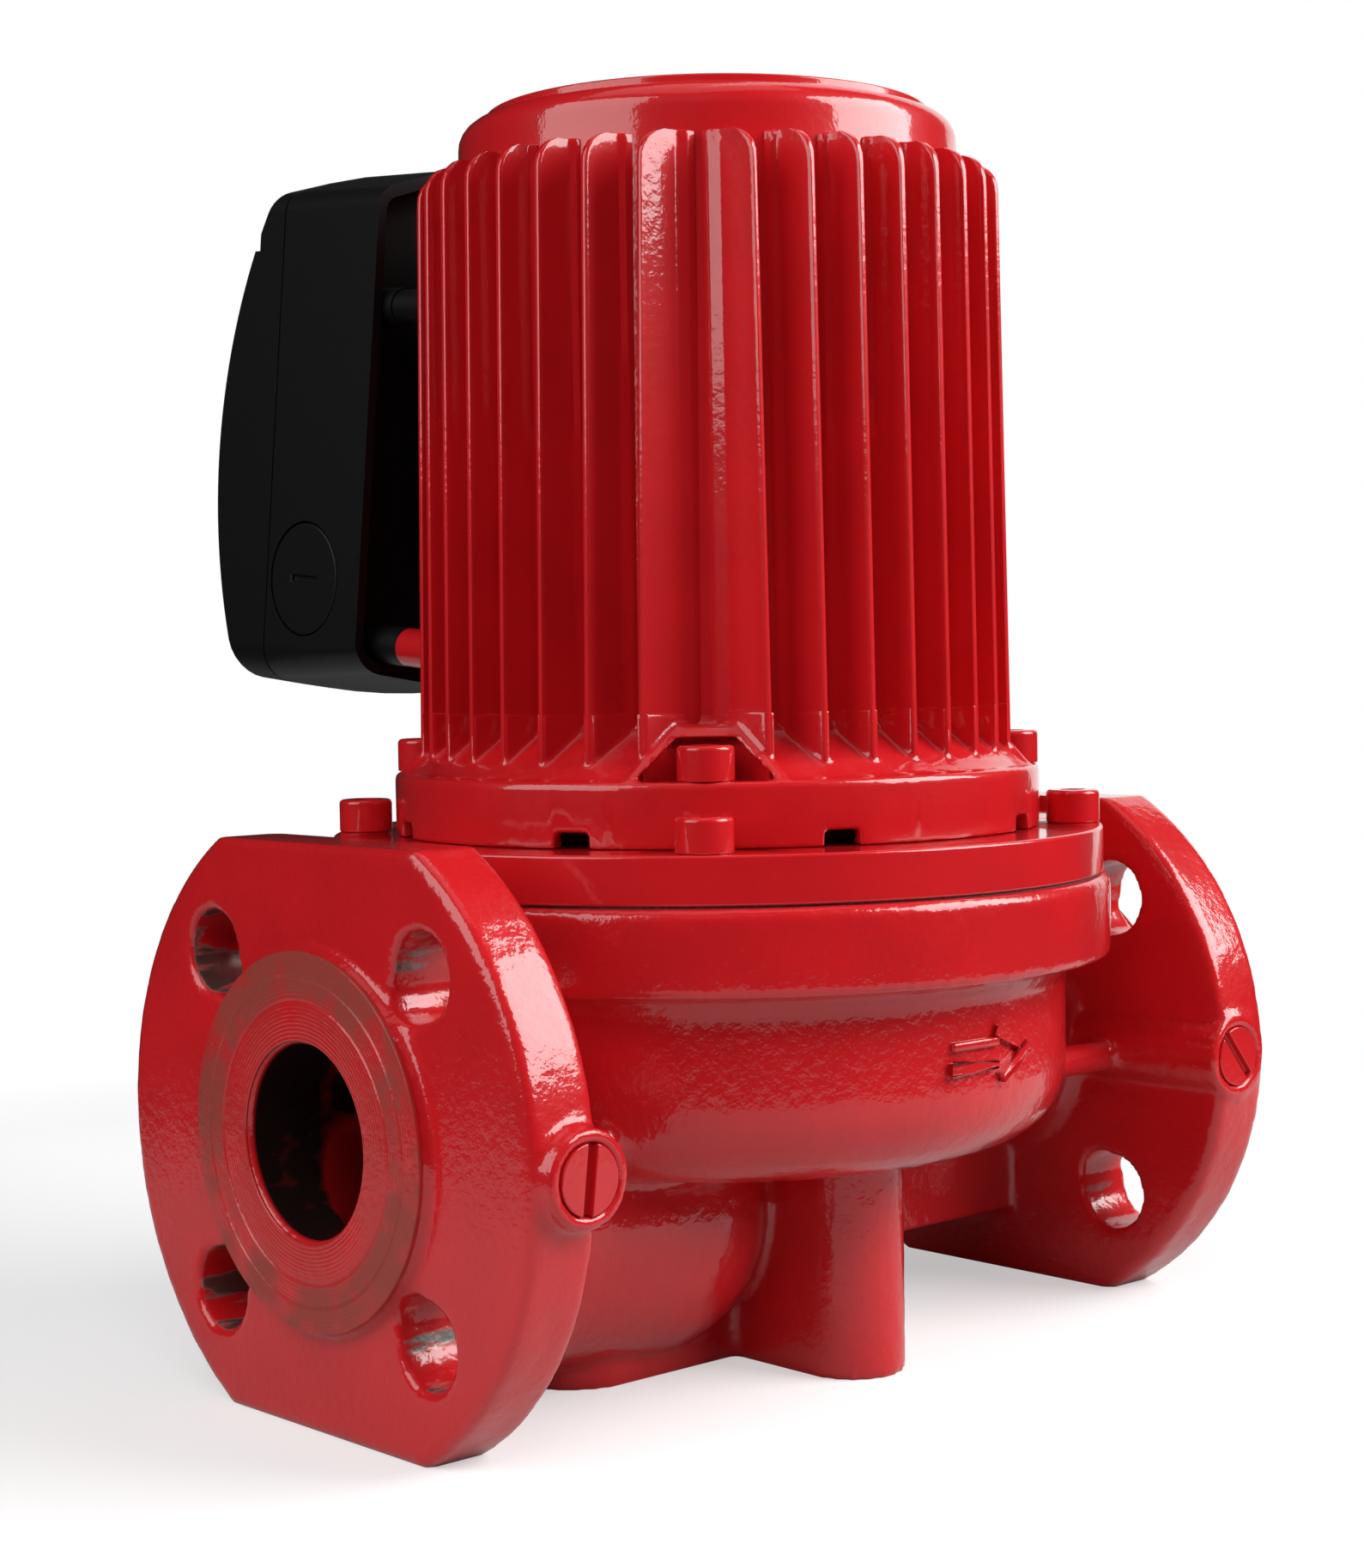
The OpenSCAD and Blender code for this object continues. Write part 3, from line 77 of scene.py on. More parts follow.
# %% World
WORLD_SEEN, WORLD_LIGHT = 1.0, 0.025
world = bpy.data.worlds.new("studio")
scene.world = world
world.use_nodes = True
wn, wl = world.node_tree.nodes, world.node_tree.links
wn.clear()
world_out = wn.new("ShaderNodeOutputWorld")
shown = wn.new("ShaderNodeBackground")
lighting = wn.new("ShaderNodeBackground")
shown.inputs["Color"].default_value = (1, 1, 1, 1)
shown.inputs["Strength"].default_value = WORLD_SEEN
lighting.inputs["Color"].default_value = (0.95, 0.97, 1, 1)
lighting.inputs["Strength"].default_value = WORLD_LIGHT


def seen_directly(nodes, links):
    """A value that is 1 for camera, glossy and transmission rays."""
    path = nodes.new("ShaderNodeLightPath")
    first = nodes.new("ShaderNodeMath")
    second = nodes.new("ShaderNodeMath")
    first.operation = second.operation = "MAXIMUM"
    links.new(path.outputs["Is Camera Ray"], first.inputs[0])
    links.new(path.outputs["Is Glossy Ray"], first.inputs[1])
    links.new(first.outputs[0], second.inputs[0])
    links.new(path.outputs["Is Transmission Ray"], second.inputs[1])
    return second.outputs[0]


world_mix = wn.new("ShaderNodeMixShader")
wl.new(seen_directly(wn, wl), world_mix.inputs[0])
wl.new(lighting.outputs[0], world_mix.inputs[1])
wl.new(shown.outputs[0], world_mix.inputs[2])
wl.new(world_mix.outputs[0], world_out.inputs["Surface"])
print("world:", WORLD_SEEN, "where it is seen,", WORLD_LIGHT, "where it lights")


# %% Lamps
PUMP_MIDDLE, PUMP_TOP = (0, 0, 0.16), (0, 0, 0.3)


def softbox(name, place, width, height, power, aim=PUMP_MIDDLE):
    """A rectangular lamp that faces the pump; lengths in metres, power in watts."""
    data = bpy.data.lights.new(name, "AREA")
    data.shape = "RECTANGLE"
    data.size, data.size_y = width, height
    data.energy = power
    lamp = bpy.data.objects.new(name, data)
    scene.collection.objects.link(lamp)
    lamp.location = place
    lamp.rotation_euler = (Vector(aim) - Vector(place)).to_track_quat("-Z", "Y").to_euler()
    return lamp


softbox("lamp_left", (-1.26, 0.20, 0.90), 1.2, 1.2, 14, aim=PUMP_TOP)
softbox("lamp_right", (0.64, -0.80, 0.80), 0.95, 0.8, 21)
softbox("lamp_top", (-0.1, 0.0, 1.3), 0.9, 0.9, 1.5)
fill = softbox("fill_over_camera", (-0.78, -0.84, 1.05), 0.7, 0.5, 4.6)
fill.visible_glossy = False

# %% [markdown]
# ## Floor
# The table is pale and matt. It is a disc whose edge fades out into the white world, so no
# horizon shows. For the camera alone it glows a little, so that it reads as white while it
# still holds the soft shadow of the pump.

# %% Floor
FLOOR_SHADE, FLOOR_GLOW = 0.56, 0.48
FADE_START, FADE_END = 0.40, 0.50
bpy.ops.mesh.primitive_circle_add(vertices=96, radius=2.5, fill_type="NGON",
                                  location=(0, 0, 0))
floor = bpy.context.object
floor.name = "floor"
pale = bpy.data.materials.new("pale floor")
pale.use_nodes = True
pn, pl = pale.node_tree.nodes, pale.node_tree.links
pn.clear()
floor_out = pn.new("ShaderNodeOutputMaterial")
matt = pn.new("ShaderNodeBsdfDiffuse")
matt.inputs["Color"].default_value = (FLOOR_SHADE, FLOOR_SHADE, FLOOR_SHADE, 1)
clear = pn.new("ShaderNodeBsdfTransparent")
place = pn.new("ShaderNodeTexCoord")
length = pn.new("ShaderNodeVectorMath")
length.operation = "LENGTH"
fade = pn.new("ShaderNodeMapRange")
fade.inputs["From Min"].default_value = FADE_START
fade.inputs["From Max"].default_value = FADE_END
pl.new(place.outputs["Object"], length.inputs[0])
pl.new(length.outputs["Value"], fade.inputs["Value"])
glow = pn.new("ShaderNodeEmission")
lift = pn.new("ShaderNodeMath")
lift.operation = "MULTIPLY"
lift.inputs[1].default_value = FLOOR_GLOW
pl.new(pn.new("ShaderNodeLightPath").outputs["Is Camera Ray"], lift.inputs[0])
pl.new(lift.outputs[0], glow.inputs["Strength"])
lit = pn.new("ShaderNodeAddShader")
pl.new(matt.outputs[0], lit.inputs[0])
pl.new(glow.outputs[0], lit.inputs[1])
floor_mix = pn.new("ShaderNodeMixShader")
pl.new(fade.outputs["Result"], floor_mix.inputs[0])
pl.new(lit.outputs[0], floor_mix.inputs[1])
pl.new(clear.outputs[0], floor_mix.inputs[2])
pl.new(floor_mix.outputs[0], floor_out.inputs["Surface"])
floor.data.materials.append(pale)
print("floor: fades from", FADE_START, "to", FADE_END, "m")

# %% [markdown]
# ## Black cards
# A glossy object in a white room looks washed out, because every face mirrors white. A
# photographer hangs black cards round it, just out of the picture, and leaves the table
# white. Two curved cards do so here: only reflections see them.

# %% Black cards
def card(name, first, last, radius=1.9, low=-1.6, high=2.4, steps=24):
    """A curved upright card between two directions in degrees, closed at the top."""
    points, faces = [], []
    for k in range(steps + 1):
        angle = math.radians(first + (last - first) * k / steps)
        c, s = math.cos(angle), math.sin(angle)
        points += [(radius * c, radius * s, low), (radius * c, radius * s, high),
                   (0.1 * c, 0.1 * s, high + 0.3)]
    for k in range(steps):
        for j in (0, 1):
            faces.append((3 * k + j, 3 * k + 3 + j, 3 * k + 4 + j, 3 * k + 1 + j))
    mesh = bpy.data.meshes.new(name)
    mesh.from_pydata(points, [], faces)
    hung = bpy.data.objects.new(name, mesh)
    scene.collection.objects.link(hung)
    mesh.materials.append(black_card)
    hung.visible_camera = hung.visible_diffuse = hung.visible_shadow = False
    hung.visible_transmission = False


black_card = bpy.data.materials.new("black card")
black_card.use_nodes = True
card_shader = black_card.node_tree.nodes["Principled BSDF"]
card_shader.inputs["Base Color"].default_value = (0.02, 0.02, 0.02, 1)
card_shader.inputs["Roughness"].default_value = 1.0
card("card_front", -225, 10)
card("card_back", 40, 135)
print("black cards: 2")


# %% [markdown]
# ## Sums as node trees
# A rule such as "the fin ends on a circle" is one line on paper and a dozen Math nodes in a
# tree. This small class closes the gap: it wraps a socket, and each sum adds its node.

# %% Numbers that write their own nodes
class Number:
    """A value in a node tree; plus, minus, times and divided by work on it."""

    def __init__(self, tree, socket):
        self.tree, self.socket = tree, socket

    def of(self, operation, *others):
        """Adds a Math node that works on this value and on others."""
        node = self.tree.nodes.new("ShaderNodeMath")
        node.operation = operation
        for socket, value in zip(node.inputs, (self, *others)):
            if isinstance(value, Number):
                self.tree.links.new(value.socket, socket)
            else:
                socket.default_value = value
        return Number(self.tree, node.outputs[0])

    def __add__(self, other):
        return self.of("ADD", other)

    def __sub__(self, other):
        return self.of("SUBTRACT", other)

    def __mul__(self, other):
        return self.of("MULTIPLY", other)

    def __truediv__(self, other):
        return self.of("DIVIDE", other)

    def squared(self):
        return self * self

    def root(self):
        return self.of("MAXIMUM", 0.0).of("SQRT")

    def at_least(self, low):
        return self.of("MAXIMUM", low)

    def at_most(self, high):
        return self.of("MINIMUM", high)

    def step(self, start, end):
        """0 below start, 1 above end, and a straight run between them."""
        return ((self - start) / (end - start)).at_least(0.0).at_most(1.0)


def axes(tree, vector):
    """The three parts of a vector as numbers."""
    split = tree.nodes.new("ShaderNodeSeparateXYZ")
    tree.links.new(vector, split.inputs[0])
    return [Number(tree, socket) for socket in split.outputs]


# %% [markdown]
# ## Finishes
# The whole pump was sprayed after it was put together, screws and plugs too. The coat is
# glossy and a little wavy, like the skin of an orange, so the white table shows in it as a
# soft pink under the bowl. A matt base with a sharp clear coat over it gives that look: the
# base keeps the red deep, and all the gloss comes from the coat.

# %% Helpers for finishes
def finish(name, colour, roughness=0.4, metallic=0.0, specular=0.5):
    """A material with a Principled shader whose sockets hold plain values."""
    material = bpy.data.materials.new(name)
    material.use_nodes = True
    shader = material.node_tree.nodes["Principled BSDF"]
    shader.inputs["Base Color"].default_value = (*colour, 1)
    shader.inputs["Roughness"].default_value = roughness
    shader.inputs["Metallic"].default_value = metallic
    shader.inputs["Specular IOR Level"].default_value = specular
    return material


def place_on(material):
    """Object coordinates, which stay with the piece."""
    return material.node_tree.nodes.new("ShaderNodeTexCoord").outputs["Object"]


def noise(material, scale, detail=2.0, stretch=None):
    """Noise on Object coordinates, in waves per metre."""
    nodes, links = material.node_tree.nodes, material.node_tree.links
    texture = nodes.new("ShaderNodeTexNoise")
    texture.inputs["Scale"].default_value = scale
    texture.inputs["Detail"].default_value = detail
    source = place_on(material)
    if stretch:
        mapping = nodes.new("ShaderNodeMapping")
        mapping.inputs["Scale"].default_value = stretch
        links.new(source, mapping.inputs["Vector"])
        source = mapping.outputs["Vector"]
    links.new(source, texture.inputs["Vector"])
    return texture.outputs["Fac"]


def bumps(material, heights):
    """Adds bump nodes in a row; each entry is (height output, depth in metres)."""
    nodes, links = material.node_tree.nodes, material.node_tree.links
    last = None
    for source, depth in heights:
        bump = nodes.new("ShaderNodeBump")
        bump.inputs["Strength"].default_value = 1.0
        bump.inputs["Distance"].default_value = depth
        links.new(source, bump.inputs["Height"])
        if last:
            links.new(last, bump.inputs["Normal"])
        last = bump.outputs["Normal"]
    shader = nodes["Principled BSDF"]
    links.new(last, shader.inputs["Normal"])
    links.new(last, shader.inputs["Coat Normal"])


def tint(material, source, low, high):
    """Runs the colour between two ends along a noise and returns its output."""
    nodes, links = material.node_tree.nodes, material.node_tree.links
    ramp = nodes.new("ShaderNodeValToRGB")
    ramp.color_ramp.elements[0].position = 0.35
    ramp.color_ramp.elements[1].position = 0.65
    ramp.color_ramp.elements[0].color = (*low, 1)
    ramp.color_ramp.elements[1].color = (*high, 1)
    links.new(source, ramp.inputs["Fac"])
    links.new(ramp.outputs["Color"], nodes["Principled BSDF"].inputs["Base Color"])
    return ramp.outputs["Color"]


def swap_where(material, mask, under, over, socket):
    """Mixes a second colour or value over the first where the mask is 1."""
    nodes, links = material.node_tree.nodes, material.node_tree.links
    mix = nodes.new("ShaderNodeMix")
    mix.data_type = "RGBA" if len(over) == 3 else "FLOAT"
    named = [s for s in mix.inputs if s.enabled]
    links.new(mask.socket, named[0])
    for end, value in zip(named[1:], (under, over)):
        if isinstance(value, bpy.types.NodeSocket):
            links.new(value, end)
        elif len(value) == 3:
            end.default_value = (*value, 1)
        else:
            end.default_value = value[0]
    out = next(s for s in mix.outputs if s.enabled)
    links.new(out, nodes["Principled BSDF"].inputs[socket])
    return out


# %% Red paint
RED = (0.57, 0.0095, 0.0135)
PIPE_HEIGHT = 65 * MM
PLATE_FACE, PORT_FACE = 122 * MM, 125 * MM
BORE = 21.5 * MM
PLATE_BACK = 105 * MM
BOLT_CIRCLE, BOLT_HOLE = 55 * MM, 9.8 * MM
GROOVES = (31.0, 36.2)
BASE_ROUGHNESS, BASE_SHINE = 0.35, 0.15


def red_paint(name, wave, depth):
    """A base coat with a clear, glossy skin over it, in waves of that depth."""
    paint = finish(name, RED, BASE_ROUGHNESS, 0.0, BASE_SHINE)
    shader = paint.node_tree.nodes["Principled BSDF"]
    shader.inputs["Coat Weight"].default_value = 1.0
    shader.inputs["Coat IOR"].default_value = 1.5
    shader.inputs["Coat Roughness"].default_value = 0.07
    tint(paint, noise(paint, 40), [c * 0.93 for c in RED], [c * 1.04 for c in RED])
    bumps(paint, [(noise(paint, wave), depth), (noise(paint, wave * 3.1), depth * 0.3)])
    return paint


cast_paint = red_paint("paint over cast iron", 420, 0.16 * MM)
fine_paint = red_paint("paint over die cast aluminium", 420, 0.06 * MM)
print("paints:", cast_paint.name, "and", fine_paint.name)

# %% [markdown]
# ## Worn places and painted shade in the bore
# Gasket and wrench take the paint off. The port faces are worn to a dull brown, most of all
# outside the inner groove, and show the rings of the lathe tool. In the bolt holes bare iron
# shows in streaks. The waterway is painted nearly black as shade, much darker than the bare
# iron of the holes. Masks made from the distance to the pipe's axis and to the holes put all
# this where it belongs, also on the far flange.

# %% Worn faces, bare holes and painted bore shade of the casing
# The waterway colour is painted shade: the pipe's bore is coloured nearly black where shade
# falls inside it.
WORN, BARE_IRON, BORE_PAINTED_SHADE = (0.22, 0.06, 0.045), (0.30, 0.27, 0.25), (0.012, 0.006, 0.005)
RING_PITCH = 0.9 * MM


def wear_and_bore_shade_on_casing(material):
    """Adds the worn port faces, the bare bolt holes and painted shade: the waterway is
    coloured nearly black.
    """
    tree = material.node_tree
    shader = tree.nodes["Principled BSDF"]
    x, y, z = axes(tree, place_on(material))
    out, up = x.of("ABSOLUTE"), z - PIPE_HEIGHT
    radius = (y.squared() + up.squared()).root()
    diagonal = BOLT_CIRCLE * math.sqrt(0.5)
    beside = y.of("ABSOLUTE") - diagonal
    above = up.of("ABSOLUTE") - diagonal
    from_hole = (beside.squared() + above.squared()).root()
    streaks = Number(tree, noise(material, 180, 4.0, stretch=(0.25, 1, 1)))
    spots = Number(tree, noise(material, 90, 5.0))
    face = out.step(PORT_FACE - 0.6 * MM, PORT_FACE - 0.2 * MM) * spots.step(0.30, 0.55)
    face = face * (radius.step(GROOVES[0] * MM, (GROOVES[0] + 1) * MM) * 0.65 + 0.35)
    in_hole = (from_hole * -1 + BOLT_HOLE).step(0.0, 0.3 * MM)
    bare = in_hole * out.step(PLATE_BACK - 0.6 * MM, PLATE_BACK) * streaks.step(0.50, 0.56)
    bare = bare * (out * -1 + PLATE_FACE - 0.8 * MM).step(0.0, 0.6 * MM)
    # inside marks the bore of the pipe, which gets the painted shade.
    inside = (radius * -1 + BORE + 0.5 * MM).step(0.0, 0.5 * MM)
    inside = inside * (out * -1 + PORT_FACE - 1.2 * MM).step(0.0, 0.8 * MM)
    colour = shader.inputs["Base Color"].links[0].from_socket
    colour = swap_where(material, face * 0.75, colour, WORN, "Base Color")
    colour = swap_where(material, bare, colour, BARE_IRON, "Base Color")
    swap_where(material, inside, colour, BORE_PAINTED_SHADE, "Base Color")
    dull = (face * 0.8 + bare + inside).at_most(1.0)
    swap_where(material, dull, (1.0,), (0.0,), "Coat Weight")
    swap_where(material, bare, (0.0,), (0.9,), "Metallic")
    rings = (radius * (2 * math.pi / RING_PITCH)).of("SINE")
    rings = rings * out.step(PORT_FACE - 0.5 * MM, PORT_FACE)
    old = shader.inputs["Normal"].links[0].from_socket
    lathe_marks = tree.nodes.new("ShaderNodeBump")
    lathe_marks.inputs["Distance"].default_value = 0.02 * MM
    tree.links.new(rings.socket, lathe_marks.inputs["Height"])
    tree.links.new(old, lathe_marks.inputs["Normal"])
    for socket in ("Normal", "Coat Normal"):
        tree.links.new(lathe_marks.outputs["Normal"], shader.inputs[socket])


wear_and_bore_shade_on_casing(cast_paint)
print("worn from radius", GROOVES[0], "mm outwards")

# %% [markdown]
# ## The other materials
# Each stands for one stock: moulded plastic with a fine grain, turned steel, sand cast
# bronze, stacked core sheets, pressed carbon, lacquered copper wire, rubber, gasket sheet.
# A fine noise is their grain. Where a material lies in layers or strands, the noise is
# stretched along them.

# %% Plastic, metal and rubber
black_plastic = finish("grained black plastic", (0.0045, 0.0045, 0.005), 0.42, 0, 0.22)
bumps(black_plastic, [(noise(black_plastic, 2600), 0.00003)])
steel = finish("turned steel", (0.56, 0.56, 0.58), 0.3, 1.0)
bumps(steel, [(noise(steel, 900, stretch=(1, 1, 12)), 0.00003)])
bronze = finish("cast bronze", (0.5, 0.33, 0.15), 0.38, 1.0)
bumps(bronze, [(noise(bronze, 700), 0.00008)])
iron = finish("core sheets", (0.16, 0.16, 0.17), 0.5, 0.8)
bumps(iron, [(noise(iron, 300, stretch=(1, 1, 30)), 0.00008)])
carbon = finish("bearing carbon", (0.03, 0.03, 0.032), 0.45)
tint(carbon, noise(carbon, 500), (0.025, 0.025, 0.027), (0.045, 0.045, 0.05))
copper = finish("lacquered copper", (0.5, 0.19, 0.08), 0.3, 1.0)
bumps(copper, [(noise(copper, 1500, stretch=(1, 1, 0.2)), 0.0001)])
rubber = finish("black rubber", (0.02, 0.02, 0.02), 0.6)
tint(rubber, noise(rubber, 300), (0.017, 0.017, 0.017), (0.03, 0.03, 0.03))
gasket = finish("grey gasket sheet", (0.1, 0.1, 0.1), 0.7)
tint(gasket, noise(gasket, 900), (0.08, 0.08, 0.08), (0.13, 0.13, 0.13))
pale_plastic = finish("pale grey plastic", (0.5, 0.5, 0.47), 0.45)
tint(pale_plastic, noise(pale_plastic, 200), (0.47, 0.47, 0.44), (0.53, 0.53, 0.5))
dark_plastic = finish("dark grey plastic", (0.05, 0.05, 0.055), 0.45)
tint(dark_plastic, noise(dark_plastic, 200), (0.045, 0.045, 0.05), (0.06, 0.06, 0.065))

FINISH = {
    "casting": cast_paint, "housing": fine_paint, "cover_plate": fine_paint,
    "painted_screw": fine_paint, "plug_paint": fine_paint, "steel": steel,
    "can_steel": steel, "bronze": bronze, "iron": iron, "carbon": carbon,
    "copper": copper, "rubber": rubber, "gasket": gasket,
    "black_plastic": black_plastic, "grey_plastic": pale_plastic,
    "dark_plastic": dark_plastic,
}
SLOT = {s["node"]: s["material_slot"] for s in frame["record"]["subparts"]}
for name, part in frame["nodes"].items():
    part.data.materials.clear()
    part.data.materials.append(FINISH[SLOT[name]])
print("finishes:", len(FINISH))


# %% [markdown]
# ## Ways of making a piece
# Three ways are used below. A solid from the frame is copied and welded. An outline is turned
# round the pump's axis, as on a lathe. A Geometry Nodes tree repeats or bends a shape by a
# rule with named inputs. Whatever was cast in sand is then rebuilt from small cubes and
# smoothed, which rounds every edge and fills every corner as molten metal does.

# %% Meshes
def new_piece(name, mesh, node):
    """An object that shows a mesh in the finish of a node."""
    piece = bpy.data.objects.new(name, mesh)
    scene.collection.objects.link(piece)
    mesh.materials.clear()
    mesh.materials.append(FINISH[SLOT[node]])
    return piece


def welded(node):
    """A copy of a solid's mesh with its loose triangles joined."""
    mesh = frame["nodes"][node].data.copy()
    form = bmesh.new()
    form.from_mesh(mesh)
    bmesh.ops.remove_doubles(form, verts=form.verts, dist=0.002 * MM)
    form.to_mesh(mesh)
    form.free()
    return mesh


def mesh_of(name, points, faces):
    """A mesh from lists, closed where points meet on the axis, with its faces outwards."""
    mesh = bpy.data.meshes.new(name)
    mesh.from_pydata(points, [], faces)
    form = bmesh.new()
    form.from_mesh(mesh)
    bmesh.ops.remove_doubles(form, verts=form.verts, dist=0.0005 * MM)
    bmesh.ops.recalc_face_normals(form, faces=form.faces)
    form.to_mesh(mesh)
    form.free()
    return mesh


def bake(piece):
    """Turns the modifiers' result into a plain mesh and drops them."""
    bpy.context.view_layer.update()
    shown_form = piece.evaluated_get(bpy.context.evaluated_depsgraph_get())
    mesh = bpy.data.meshes.new_from_object(shown_form)
    piece.modifiers.clear()
    piece.data = mesh
    return len(mesh.polygons)


def shade(piece, angle=30, weighted=True):
    """Smooth shading with creases; flat faces keep flat shading."""
    piece.data.shade_smooth()
    piece.data.set_sharp_from_angle(angle=math.radians(angle))
    if weighted:
        modifier = piece.modifiers.new("flat faces stay flat", "WEIGHTED_NORMAL")
        modifier.keep_sharp = True
        bake(piece)


def join(pieces):
    """Joins pieces into the first one."""
    with bpy.context.temp_override(active_object=pieces[0], selected_objects=pieces,
                                   selected_editable_objects=pieces):
        bpy.ops.object.join()
    return pieces[0]


def as_cast(piece, grain, softness, share):
    """Rebuilds a closed form from small cubes, smooths it and thins out the triangles."""
    cubes = piece.modifiers.new("cubes", "REMESH")
    cubes.mode = "VOXEL"
    cubes.voxel_size = grain
    soft = piece.modifiers.new("soft", "SMOOTH")
    soft.factor = 0.5
    soft.iterations = softness
    bake(piece)
    return thin_out(piece, share)


def thin_out(piece, share):
    """Merges triangles where the surface is nearly flat."""
    fewer = piece.modifiers.new("fewer", "DECIMATE")
    fewer.ratio = share
    return bake(piece)


def stands_for(piece, node, body="pump"):
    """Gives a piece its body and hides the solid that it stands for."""
    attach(piece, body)
    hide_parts(node)
    print(piece.name, "has", len(piece.data.polygons), "faces")


# %% Recipes
def recipe(name, numbers):
    """A Geometry Nodes tree with named inputs."""
    tree = bpy.data.node_groups.new(name, "GeometryNodeTree")
    sockets = tree.interface
    sockets.new_socket("Geometry", in_out="INPUT", socket_type="NodeSocketGeometry")
    sockets.new_socket("Geometry", in_out="OUTPUT", socket_type="NodeSocketGeometry")
    for label, value in numbers.items():
        made = sockets.new_socket(label, in_out="INPUT", socket_type="NodeSocketFloat")
        made.default_value = value
    sockets.new_socket("Finish", in_out="INPUT", socket_type="NodeSocketMaterial")
    start = tree.nodes.new("NodeGroupInput")
    return tree, start, {label: Number(tree, start.outputs[label]) for label in numbers}


def end_recipe(tree, start, geometry):
    """Ends a tree with real geometry that carries the finish."""
    real = tree.nodes.new("GeometryNodeRealizeInstances")
    painted = tree.nodes.new("GeometryNodeSetMaterial")
    end = tree.nodes.new("NodeGroupOutput")
    tree.links.new(geometry, real.inputs[0])
    tree.links.new(real.outputs[0], painted.inputs["Geometry"])
    tree.links.new(start.outputs["Finish"], painted.inputs["Material"])
    tree.links.new(painted.outputs[0], end.inputs[0])


def follow(piece, tree, **values):
    """Runs a recipe on a piece; inputs are set through their identifiers."""
    modifier = piece.modifiers.new(tree.name, "NODES")
    modifier.node_group = tree
    values["Finish"] = piece.data.materials[0]
    for item in tree.interface.items_tree:
        label = item.name.replace(" ", "_")
        if item.in_out == "INPUT" and (label in values):
            modifier[item.identifier] = values[label]
    return bake(piece)


# %% Turning an outline
def rounded(corners, steps=6):
    """An outline through (radius, height, corner radius), with its corners rounded."""
    line = []
    for i, (r, z, edge) in enumerate(corners):
        here = Vector((r, z))
        if edge == 0:
            line.append(here)
            continue
        before = (Vector(corners[i - 1][:2]) - here).normalized()
        after = (Vector(corners[(i + 1) % len(corners)][:2]) - here).normalized()
        half = before.angle(after) / 2
        centre = here + (before + after).normalized() * edge / math.sin(half)
        first = here + before * edge / math.tan(half) - centre
        last = here + after * edge / math.tan(half) - centre
        for k in range(steps + 1):
            line.append(centre + first.slerp(last, k / steps) * edge)
    return [p * MM for p in line]


def turned(name, corners, node, steps=160):
    """A form turned from a closed outline, which may touch the axis."""
    line = rounded(corners)
    n = len(line)
    points, faces = [], []
    for s in range(steps):
        angle = 2 * math.pi * s / steps
        points += [(p.x * math.cos(angle), p.x * math.sin(angle), p.y) for p in line]
        ahead = (s + 1) % steps * n
        for k in range(n):
            nxt = (k + 1) % n
            faces.append((s * n + k, ahead + k, ahead + nxt, s * n + nxt))
    return new_piece(name, mesh_of(name, points, faces), node)


# %% [markdown]
# ## Casing
# The real casing is one sand casting: two flanges on short necks, a volute bowl, the suction
# bulb below it and two feet. Its form comes from the solid. Cubes of 1.1 mm and a little
# smoothing give it cast corners, and a recipe then moves its skin in and out by a few tenths
# of a millimetre, except on the faces that were machined.

# %% Recipe for a sand cast skin
def skin_recipe():
    """Moves the skin in and out, except where a tool has cut."""
    tree, start, ask = recipe("sand cast skin", {
        "Broad Waves": 0.12 * MM, "Fine Grain": 0.05 * MM, "Rim Roughness": 0.10 * MM,
        "Flange Roughness": 0.22 * MM, "Rougher Below": 2.8, "Port Face": PLATE_FACE,
        "Gasket Height": 115.5 * MM, "Rim Radius": 93 * MM, "Flange Radius": 71 * MM})
    nodes, links = tree.nodes, tree.links
    spot = nodes.new("GeometryNodeInputPosition").outputs[0]
    x, y, z = axes(tree, spot)

    def wave(scale, detail):
        texture = nodes.new("ShaderNodeTexNoise")
        texture.inputs["Scale"].default_value = scale
        texture.inputs["Detail"].default_value = detail
        links.new(spot, texture.inputs["Vector"])
        return (Number(tree, texture.outputs["Fac"]) - 0.5) * 2.0

    radius = (x.squared() + y.squared()).root()
    free = (x.of("ABSOLUTE") * -1 + ask["Port Face"]).step(0.0, 0.8 * MM)
    free = free * (z * -1 + ask["Gasket Height"]).step(0.0, 1 * MM)
    free = free * z.step(0.2 * MM, 1.5 * MM)
    rim = (radius - ask["Rim Radius"]).step(0.0, 1.5 * MM) * z.step(105 * MM, 110 * MM)
    rough = (z.step(66 * MM, 84 * MM) * -1 + 1) * ask["Rougher Below"] + 1
    shift = wave(55, 2) * ask["Broad Waves"] + wave(260, 3) * ask["Fine Grain"] * rough
    from_pipe = (y.squared() + (z - PIPE_HEIGHT).squared()).root()
    flange = (from_pipe - ask["Flange Radius"]).step(0.0, 2 * MM)
    flange = flange * x.of("ABSOLUTE").step(103 * MM, 105 * MM)
    shift = shift + wave(150, 3) * ask["Rim Roughness"] * rim
    shift = (shift + wave(120, 3) * ask["Flange Roughness"] * flange) * free
    out = nodes.new("GeometryNodeInputNormal").outputs[0]
    scaled = nodes.new("ShaderNodeVectorMath")
    scaled.operation = "SCALE"
    links.new(out, scaled.inputs[0])
    links.new(shift.socket, scaled.inputs["Scale"])
    moved = nodes.new("GeometryNodeSetPosition")
    links.new(start.outputs["Geometry"], moved.inputs["Geometry"])
    links.new(scaled.outputs[0], moved.inputs["Offset"])
    end_recipe(tree, start, moved.outputs[0])
    return tree


# %% Casing
casing = new_piece("casing", welded("pump_housing"), "pump_housing")
as_cast(casing, grain=1.1 * MM, softness=3, share=1.0)
follow(casing, skin_recipe(), Broad_Waves=0.12 * MM)
thin_out(casing, 0.36)


# %% [markdown]
# ## Flow arrow
# The pattern for the mould carries a raised arrow on the bowl: two bars for its shaft, two
# for its head. Each end is given as an angle round the pump and a height, so the bars bend
# with the bowl.

